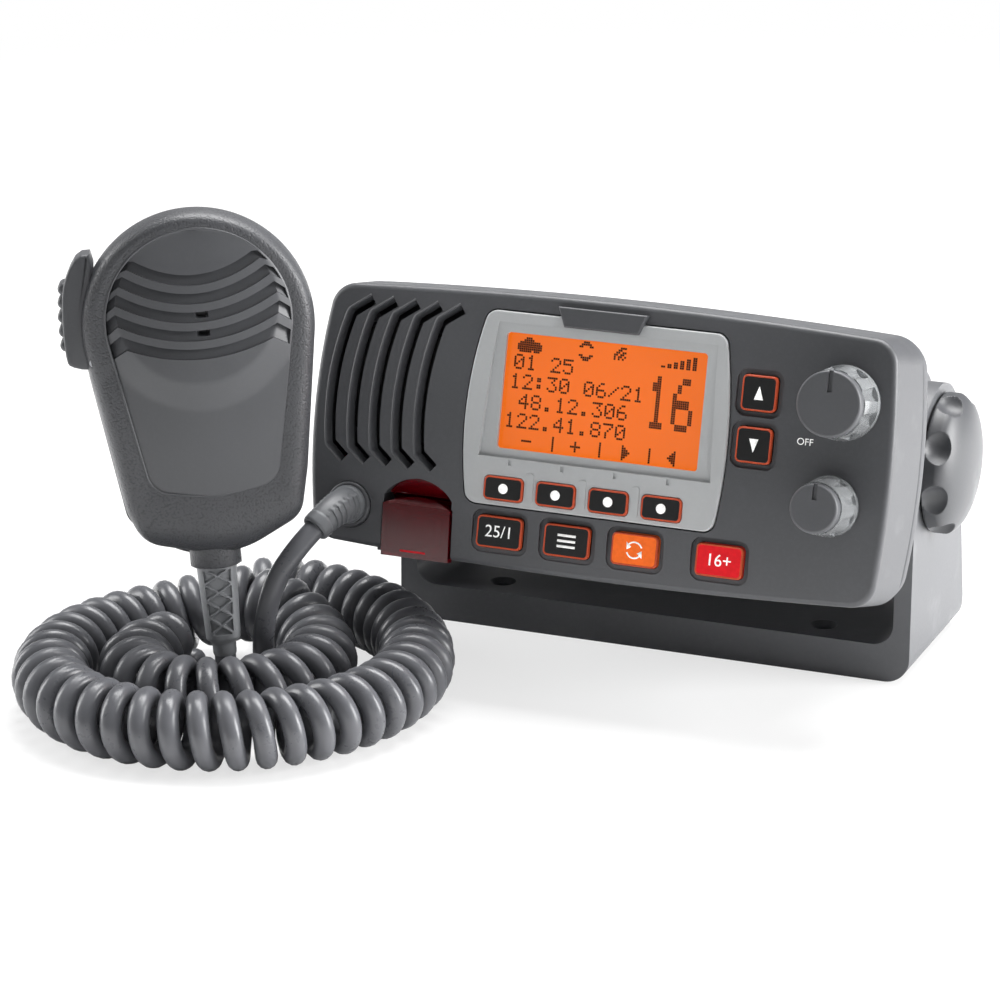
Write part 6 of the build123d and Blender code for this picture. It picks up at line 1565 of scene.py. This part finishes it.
@dataclass
class Display:
    """The trim, the glowing dot display behind its window, and the bare tab above it."""

    axes: Axes
    centre: tuple[float, float] = (0.7, 10.0)
    size: tuple[float, float] = (57.2, 31.4)
    front: float = 66.0
    pitch: float = 0.588
    dot: float = 0.54
    columns: int = 95
    rows: int = 52

    GLYPHS = {
        "0": (14, 17, 19, 21, 25, 17, 14), "1": (4, 12, 4, 4, 4, 4, 14), "2": (14, 17, 1, 2, 4, 8, 31),
        "3": (31, 2, 4, 2, 1, 17, 14), "4": (2, 6, 10, 18, 31, 2, 2), "5": (31, 16, 30, 1, 1, 17, 14),
        "6": (6, 8, 16, 30, 17, 17, 14), "7": (31, 1, 2, 4, 8, 8, 8), "8": (14, 17, 17, 14, 17, 17, 14),
        "9": (14, 17, 17, 15, 1, 2, 12), ":": (0, 12, 12, 0, 12, 12, 0), ".": (0, 0, 0, 0, 0, 12, 12),
        "/": (0, 1, 2, 4, 8, 16, 0), "-": (0, 0, 0, 31, 0, 0, 0), "+": (0, 4, 4, 31, 4, 4, 0), " ": (0,) * 7}

    def write(self, dots: np.ndarray, words: str, row: int, column: int) -> None:
        """Switch on the dots of a line of characters, five dots wide and seven high.

        Args:
            dots: the dots that are on; it is changed.
            words: the characters.
            row: the line's top row.
            column: its first column.
        """
        for index, letter in enumerate(words):
            lines = np.array(self.GLYPHS[letter])[:, None]
            left = column + 6 * index
            dots[row:row + 7, left:left + 5] |= ((lines >> np.arange(4, -1, -1)) & 1).astype(bool)

    def small_dots(self) -> np.ndarray:
        """Return which dots are on for the signs, the numbers, the bars and the soft keys' marks.

        Returns:
            An array (rows, columns).
        """
        dots = np.zeros((self.rows, self.columns), bool)
        for line in (("01 25", 9, 2), ("12:30 06/21", 18, 1), ("48.12.306", 27, 6), ("122.41.870", 36, 0),
                     ("-", 45, 9), ("+", 45, 33)):
            self.write(dots, *line)
        row, column = np.mgrid[0:self.rows, 0:self.columns]
        cloud = sum(np.hypot(row - at, column - left) < reach
                    for at, left, reach in ((4, 8, 3.2), (5, 5, 2.3), (5, 12, 2.3))) > 0
        ring = np.abs(np.hypot(row - 4, column - 36) - 3.4) < 0.75
        gap = (np.abs(row - 4) < 1.2) & (np.abs(column - 36) > 2)
        dots |= (cloud & (row < 8)) | (ring & ~gap)
        for index in range(6):
            dots[8 - index - 1:8, 73 + 3 * index:75 + 3 * index] = True
        for reach in (2.2, 4.2, 6.2):
            dots |= (np.abs(np.hypot(row - 7, column - 56) - reach) < 0.6) & (row < 7) & (column < 56)
        dots[45:52, [24, 47, 71]] = True
        dots |= self.arrow(row, column, 48, 58, 1) | self.arrow(row, column, 48, 83, -1)
        return dots

    @staticmethod
    def arrow(row: np.ndarray, column: np.ndarray, at_row: int, at_column: int, way: int) -> np.ndarray:
        """Return a small filled arrow head pointing left or right."""
        ahead = (column - at_column) * way
        return (np.abs(row - at_row) <= 3 - ahead) & (ahead >= 0)

    def big_dots(self) -> np.ndarray:
        """Return the large channel number, its dots two display dots wide and three or four high.

        Returns:
            An array (rows, columns).
        """
        small = np.zeros((7, 12), bool)
        self.write(small, "16", 0, 0)
        dots = np.zeros((self.rows, self.columns), bool)
        big = small.repeat([3, 4, 3, 4, 3, 4, 3], axis=0).repeat(2, axis=1)
        dots[12:12 + big.shape[0], 68:68 + big.shape[1]] = big
        return dots

    def dot_shape(self, dots: np.ndarray) -> Shape:
        """Return a small square for each dot that is on.

        Args:
            dots: which dots are on.

        Returns:
            All the squares as one shape.
        """
        row, column = np.nonzero(dots)
        u = self.centre[0] + (column + 0.5 - self.columns / 2) * self.pitch
        v = self.centre[1] - (row + 0.5 - self.rows / 2) * self.pitch
        corner = np.array([(-1, -1), (1, -1), (1, 1), (-1, 1)]) * self.dot / 2
        flat = np.stack([u, v], axis=-1)[:, None] + corner[None]
        points = np.concatenate([flat, np.full((*flat.shape[:2], 1), self.front + 0.05)], axis=-1)
        return Shape(self.axes.place(points.reshape(-1, 3)), np.arange(len(u) * 4).reshape(-1, 4))

    def reflector(self) -> Shape:
        """Return the glowing field behind the dots.

        Returns:
            A flat grid a little larger than the display.
        """
        half = np.array(self.size) / 2 + 0.6
        u = np.linspace(-half[0], half[0], 41) + self.centre[0]
        v = np.linspace(-half[1], half[1], 25) + self.centre[1]
        v, u = np.meshgrid(v, u, indexing="ij")
        return sheet_shape(self.axes.place(np.stack([u, v, np.full_like(u, self.front + 0.03)], axis=-1)))

    def build(self) -> None:
        """Build the display and dress the trim, window, tab and module."""
        middle = self.axes.place(np.array([*self.centre, self.front])) / MM
        glow = Backlight("display backlight", "f3701c", centre=tuple(middle))
        make_piece("display_reflector", self.reflector(), glow, HEAD, thickness=0.02)
        make_piece("display_dots", self.dot_shape(self.small_dots()), LCD_DOT, HEAD)
        make_piece("display_channel_number", self.dot_shape(self.big_dots()), LCD_SHADE, HEAD)
        dress(BLACK_PLASTIC, "lcd_module")
        dress(TRIM_GREY, "display_trim")
        dress(CASE_GREY, "display_tab")
        dress(PANE, "display_window")


@dataclass
class Controls:
    """The volume and squelch controls, the distress cover and the microphone cord's boot."""

    axes: Axes
    elbow_radii: tuple = ((0, 5.3), (0.06, 5.3), (0.1, 4.9), (0.78, 4.0), (0.80, 3.95), (0.83, 4.2),
                          (0.97, 4.1), (1.0, 3.8))
    grooves: int = 9
    groove_depth: float = 0.4
    rail_height: float = 0.25
    cover_middle: float = -49.3
    lens_at: tuple[float, float] = (-49.8, -36.9)
    lens_lift: float = 0.8
    off_at: tuple[float, float] = (58.4, 5.5)

    def elbow(self) -> Shape:
        """Return the ribbed elbow boot.

        Its line is the parabola (1-t)^2 P0 + 2t(1-t) P1 + t^2 P2 through the cord's exit; its radius falls
        along it, with cross grooves on its two flanks and a thick ring at its end.

        Returns:
            A closed tube.
        """
        cords = CordSet()
        start, knee, end = (np.array(p) for p in (cords.boot_root, cords.boot_knee, cords.boot_end))
        t = np.linspace(0, 1, 90)[:, None]
        path = (1 - t) ** 2 * start + 2 * t * (1 - t) * knee + t ** 2 * end
        along = travelled_along(path)
        share = along / along[-1]
        sides = 64
        around = np.arange(sides) / sides * 2 * pi
        body = np.interp(share, *np.transpose(self.elbow_radii))[:, None]
        groove = smooth(0.15, 0.4, np.sin(share * 2 * pi * self.grooves))
        groove = (groove * (share > 0.14) * (share < 0.74))[:, None]
        flank = smooth(0.55, 0.75, np.abs(np.sin(around)))
        rails = np.exp(-((np.abs(np.cos(around)) - 0.62) / 0.07) ** 2)
        rails = rails * ((share > 0.1) & (share < 0.78))[:, None]
        radius = body - self.groove_depth * groove * flank + self.rail_height * rails
        return ring_shape(tube_grid(path, radius, sides) * MM, True, True)

    def band(self) -> Shape:
        """Return the red arch above the cover: it slopes up from the well to the crowned face.

        The arch is part of a circle; between its foot and the arch the height rises evenly and swells a
        little. Its first rows line the round trough below it.

        Returns:
            An open sheet.
        """
        foot, middle, reach, gap = -21.35, -29.15, 12.35, 0.12
        level, slope, slope_from, swell = 65.65, 0.89, -20.9, 0.25
        trough, hollow = (-25.2, 65.9), 3.66
        u = np.linspace(-9.2, 9.2, 49)[None]
        share = np.linspace(0, 1, 15)[:, None]
        v = foot + (middle + np.sqrt(reach ** 2 - u ** 2) - gap - foot) * share
        n = level + np.maximum(v - slope_from, 0) * slope + swell * np.sin(pi * share)
        turn = np.radians(np.linspace(-80, -8, 9))[:, None] + 0 * u
        v = np.concatenate([trough[0] + hollow * np.cos(turn), v])
        n = np.concatenate([trough[1] + hollow * np.sin(turn), n])
        u = np.broadcast_to(u + self.cover_middle, v.shape)
        return sheet_shape(self.axes.place(np.stack([u, v, n], axis=-1)))

    def lens_edge(self) -> Shape:
        """Return the short bright line low on the cover.

        Returns:
            A bevelled bar.
        """
        bar = rounded_rectangle(7.6, 0.55, 0.26, 60) + np.array(self.lens_at)
        level = float(crown_at(self.lens_at[1])) + self.lens_lift
        return bevelled(bar, level - 0.25, level + 0.12, 0.12, self.axes)

    def build(self) -> None:
        """Dress the controls and build the elbow."""
        boot = make_piece("radio_boot_elbow", self.elbow(), ELBOW_GREY, HEAD, sharp=50.0)
        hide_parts("radio_strain_relief")
        make_piece("distress_band", self.band(), COVER_RED, HEAD, thickness=0.4)
        make_piece("cover_lens_edge", self.lens_edge(), BUTTON_RED, "distress_cover")
        dress(CAP_GREY, "volume_knob", "squelch_knob")
        dress(SKIRT_CLEAR, "volume_knob_skirt", "squelch_knob_skirt")
        dress(STEEL, "volume_shaft", "squelch_shaft", "distress_cover_pin", "distress_cover_spring")
        dress(BLACK_PLASTIC, "volume_encoder", "squelch_encoder")
        dress(COVER_RED, "distress_cover")
        dress(BUTTON_RED, "distress_button")
        dress(CASE_GREY, "mic_cord_socket")
        at = (*self.off_at, float(crown_at(self.off_at[1])) + 0.02)
        print_text("off_print", "OFF", 2.6, self.axes, at, HEAD)


@dataclass
class GimbalKnob:
    """A domed hand knob with finger hollows round its rim, turning about the gimbal's axis."""

    name: str
    side: int
    foot_x: float = 76.6
    radius: float = 19.6
    height: float = 10.6
    rim: float = 3.6
    hollows: int = 8
    hollow_radius: float = 6.1
    hollow_reach: float = 22.7
    hollow_height: float = 5.6
    first_hollow: float = 16.0

    def shape(self) -> Shape:
        """Return the knob.

        At the height h above its foot the radius is R below the rim and R (1 - t^2)^0.5 above it, t being
        (h - rim) / (height - rim); each hollow is a sphere, cut where
        c cos(d) - sqrt(r^2 - (h - h0)^2 - c^2 sin(d)^2) is less, d being the angle from its middle.

        Returns:
            A closed dome.
        """
        foot = [(3.2, 0.0), (self.radius - 1.4, 0.0), (self.radius - 0.5, 0.2), (self.radius - 0.1, 0.6)]
        wall = [(self.radius, h) for h in np.linspace(1.1, self.rim, 14)]
        t = np.sin(np.linspace(0.03, pi / 2 - 0.004, 64))
        dome = list(zip(self.radius * (1 - t ** 2) ** 0.5, self.rim + t * (self.height - self.rim)))
        profile = np.array(foot + wall + dome)
        around = np.linspace(0, 2 * pi, 384, endpoint=False)
        radius = np.repeat(profile[:, :1], len(around), axis=1)
        height = profile[:, 1:]
        for index in range(self.hollows):
            away = around - radians(self.first_hollow + index * 360 / self.hollows)
            under = self.hollow_radius ** 2 - (height - self.hollow_height) ** 2 \
                - (self.hollow_reach * np.sin(away)) ** 2
            cut = self.hollow_reach * np.cos(away) - np.sqrt(np.maximum(under, 0))
            radius = np.where((under > 0) & (np.cos(away) > 0), np.minimum(radius, cut), radius)
        x = self.side * (self.foot_x + np.broadcast_to(height, radius.shape))
        y, z = self.side * radius * np.cos(around), radius * np.sin(around)
        grid = np.stack([x, y, z], axis=-1) + np.array(GIMBAL_AXIS)
        return ring_shape(grid * MM, True, True)

    def build(self) -> None:
        """Build the knob in place of the plain one."""
        knob = make_piece(f"{self.name}_dome", self.shape(), KNOB_GREY, f"{self.name}_knob",
                          sharp=28.0)
        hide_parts(f"{self.name}_gimbal_knob")


@dataclass
class Louvres:
    """The rolled lip and sloping floor of each of the five speaker louvres."""

    axes: Axes
    slots: int = 5
    pitch: float = 6.6
    first: tuple = ((-67.9, 30.4), (-73.6, 26.4), (-76.8, 8.0), (-76.2, -9.6), (-71.8, -13.4))
    profile: tuple = ((-1.95, -0.05), (-1.80, 0.10), (-1.55, 0.16), (-1.30, 0.06), (-1.15, -0.25),
                      (-1.02, -0.8), (-0.85, -1.35), (-0.6, -1.9), (-0.35, -2.3))

    def line(self, count: int = 70) -> np.ndarray:
        """Return a louvre's middle line: a parabola through three points between two straight ends.

        Args:
            count: how many points the parabola gets.

        Returns:
            An array (count + 22, 2) from its upper to its lower end.
        """
        top, bend, middle, low, foot = (np.array(point) for point in self.first)
        chord = np.array([bend, middle, low])
        fit = np.polyfit(chord[:, 1], chord[:, 0], 2)
        v = np.linspace(bend[1], low[1], count)
        arc = np.column_stack([np.polyval(fit, v), v])
        head = top + (bend - top) * np.linspace(0, 1, 12)[:-1, None]
        tail = low + (foot - low) * np.linspace(0, 1, 12)[1:, None]
        return np.concatenate([head, arc, tail])

    def lip(self, shift: float) -> Shape:
        """Return one louvre's lip: it rolls over the bar's edge and slopes down to the next bar's foot.

        Args:
            shift: how far to the right of the first louvre it lies.

        Returns:
            An open sheet.
        """
        line = self.line() + np.array([shift, 0.0])
        tangent = np.gradient(line, axis=0)
        tangent /= np.linalg.norm(tangent, axis=1, keepdims=True)
        across = np.column_stack([-tangent[:, 1], tangent[:, 0]])
        places = np.array(self.profile)
        u, v = (line[:, axis] + places[:, :1] * across[:, axis] for axis in (0, 1))
        n = crown_at(v) + places[:, 1:]
        return sheet_shape(self.axes.place(np.stack([u, v, n], axis=-1)))

    def build(self) -> None:
        """Build the five lips."""
        shape = reduce(add, [self.lip(self.pitch * index) for index in range(self.slots)])
        make_piece("speaker_louvre_lips", shape, CASE_GREY, HEAD, thickness=0.3)


@dataclass
class Chassis:
    """The cast case behind the bezel, narrowing towards its finned rear."""

    axes: Axes
    count: int = 240
    corner: float = 5.0
    rear: tuple = (-54.0, -53.7, -53.0)
    rear_shares: tuple = (0.988, 0.996, 1.0)
    flange_half: tuple[float, float] = (81.4, 35.6)
    flange_bow: tuple[float, float] = (2.8, 2.4)
    flange_corner: float = 8.0
    flange_drop: float = 1.0
    flange_reach: tuple[float, float] = (43.9, 48.05)
    fins_count: int = 16
    fin_pitch: float = 7.0
    fin_half: float = 1.5
    fin_ends: tuple[float, float] = (-23.6, 15.6)
    fin_reach: tuple[float, float] = (-66.0, -54.5)
    pads_at: tuple = (-44.0, 0.0, 44.0)
    pad_radius: float = 12.5
    pad_level: float = -1.0
    pad_reach: tuple[float, float] = (-66.0, -53.0)

    def section(self, n: float) -> np.ndarray:
        """Return the body's rounded outline at a depth.

        Args:
            n: the depth along the outward axis.

        Returns:
            An array (count, 2), counter-clockwise.
        """
        half = np.interp(n, [-66, -40, -14, 48], [56.0, 60.5, 68.4, 68.4])
        top = np.interp(n, [-66, -40, 0, 48], [16.0, 18.0, 29.0, 29.0])
        bottom = np.interp(n, [-66, -40, 0, 48], [-24.0, -26.0, -31.0, -31.0])
        u, low, high = half - self.corner, bottom + self.corner, top - self.corner
        places = ((u, high), (-u, high), (-u, low), (u, low))
        return hull_outline([(*place, self.corner) for place in places], self.count)

    def body(self) -> Shape:
        """Return the body from its finned rear up to the flange.

        Returns:
            A closed shape, its rear edge a little rounded.
        """
        depths = np.concatenate([self.rear, np.linspace(-51, 44.5, 56)])
        shares = np.concatenate([self.rear_shares, np.ones(56)])
        rows = [np.column_stack([self.section(n) * share, np.full(self.count, n)])
                for n, share in zip(depths, shares)]
        return ring_shape(self.axes.place(np.array(rows)), True, True)

    def flange(self) -> Shape:
        """Return the flange that the bezel is screwed to.

        Each side of a rounded rectangle is bowed outwards by b (1 - t^2), t running from -1 to 1 along it.

        Returns:
            A closed plate.
        """
        half, bow = np.array(self.flange_half), np.array(self.flange_bow)
        base = rounded_rectangle(*(2 * half), self.flange_corner, 400)
        bowed = base * (half + bow * (1 - (base[:, ::-1] / half[::-1]) ** 2)) / half
        return bevelled(bowed - np.array([0.0, self.flange_drop]), *self.flange_reach, 0.9, self.axes)

    def fins(self) -> Shape:
        """Return the upright cooling fins.

        Returns:
            Plates with their two rear corners cut, side by side.
        """
        across = Axes(self.axes.origin, self.axes.up, self.axes.out, self.axes.right)
        (bottom, top), (rear, root) = self.fin_ends, self.fin_reach
        plate = softened([(bottom, root), (bottom, rear + 1), (bottom + 1, rear), (top - 1, rear),
                          (top, rear + 1), (top, root)], 90, 1)
        first = -self.fin_pitch * (self.fins_count - 1) / 2
        middles = first + self.fin_pitch * np.arange(self.fins_count)
        return reduce(add, [bevelled(plate, u - self.fin_half, u + self.fin_half, 0.5, across)
                            for u in middles])

    def pads(self) -> Shape:
        """Return the round pads of the three sockets.

        Returns:
            Three discs that stand out of the rear.
        """
        turn = np.linspace(0, 2 * pi, 72, endpoint=False)
        disc = self.pad_radius * np.column_stack([np.cos(turn), np.sin(turn)])
        return reduce(add, [bevelled(disc + np.array([u, self.pad_level]), *self.pad_reach, 0.5, self.axes)
                            for u in self.pads_at])

    def build(self) -> None:
        """Build the case in place of the plain one."""
        shape = self.body() + self.flange() + self.fins() + self.pads()
        body = make_piece("chassis_casting", shape, CASTING, HEAD)
        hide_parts("rear_chassis")


@dataclass
class Case:
    """The bezel, what is inside the case, and the bracket."""

    def build(self) -> None:
        """Dress the nodes."""
        dress(CASE_GREY, "front_bezel")
        dress(SEAL_RUBBER, "bezel_gasket", "keypad_membrane", "speaker_membrane", "gimbal_washers")
        dress(STEEL, "case_screws", "left_gimbal_stud", "right_gimbal_stud")
        dress(LAMINATE, "front_circuit_board", "main_circuit_board")
        dress(BLACK_PLASTIC, "speaker_driver", "power_gland", "data_gland")
        dress(CHROME, "antenna_socket")
        dress(BRASS, "gimbal_inserts")
        dress(BRACKET_GREY, "bracket")


def main() -> None:
    """Build the studio, the cords and every sub-assembly."""
    logging.basicConfig(level=logging.INFO, format="%(message)s")
    head, microphone = head_axes(), microphone_axes()
    Studio().build()
    CordSet().build(microphone)
    Microphone(microphone).build()
    Keypad(head).build()
    Display(head).build()
    Controls(head).build()
    GimbalKnob("left", -1).build()
    GimbalKnob("right", 1).build()
    Louvres(head).build()
    Chassis(head).build()
    Case().build()


if __name__ == "__main__":
    main()
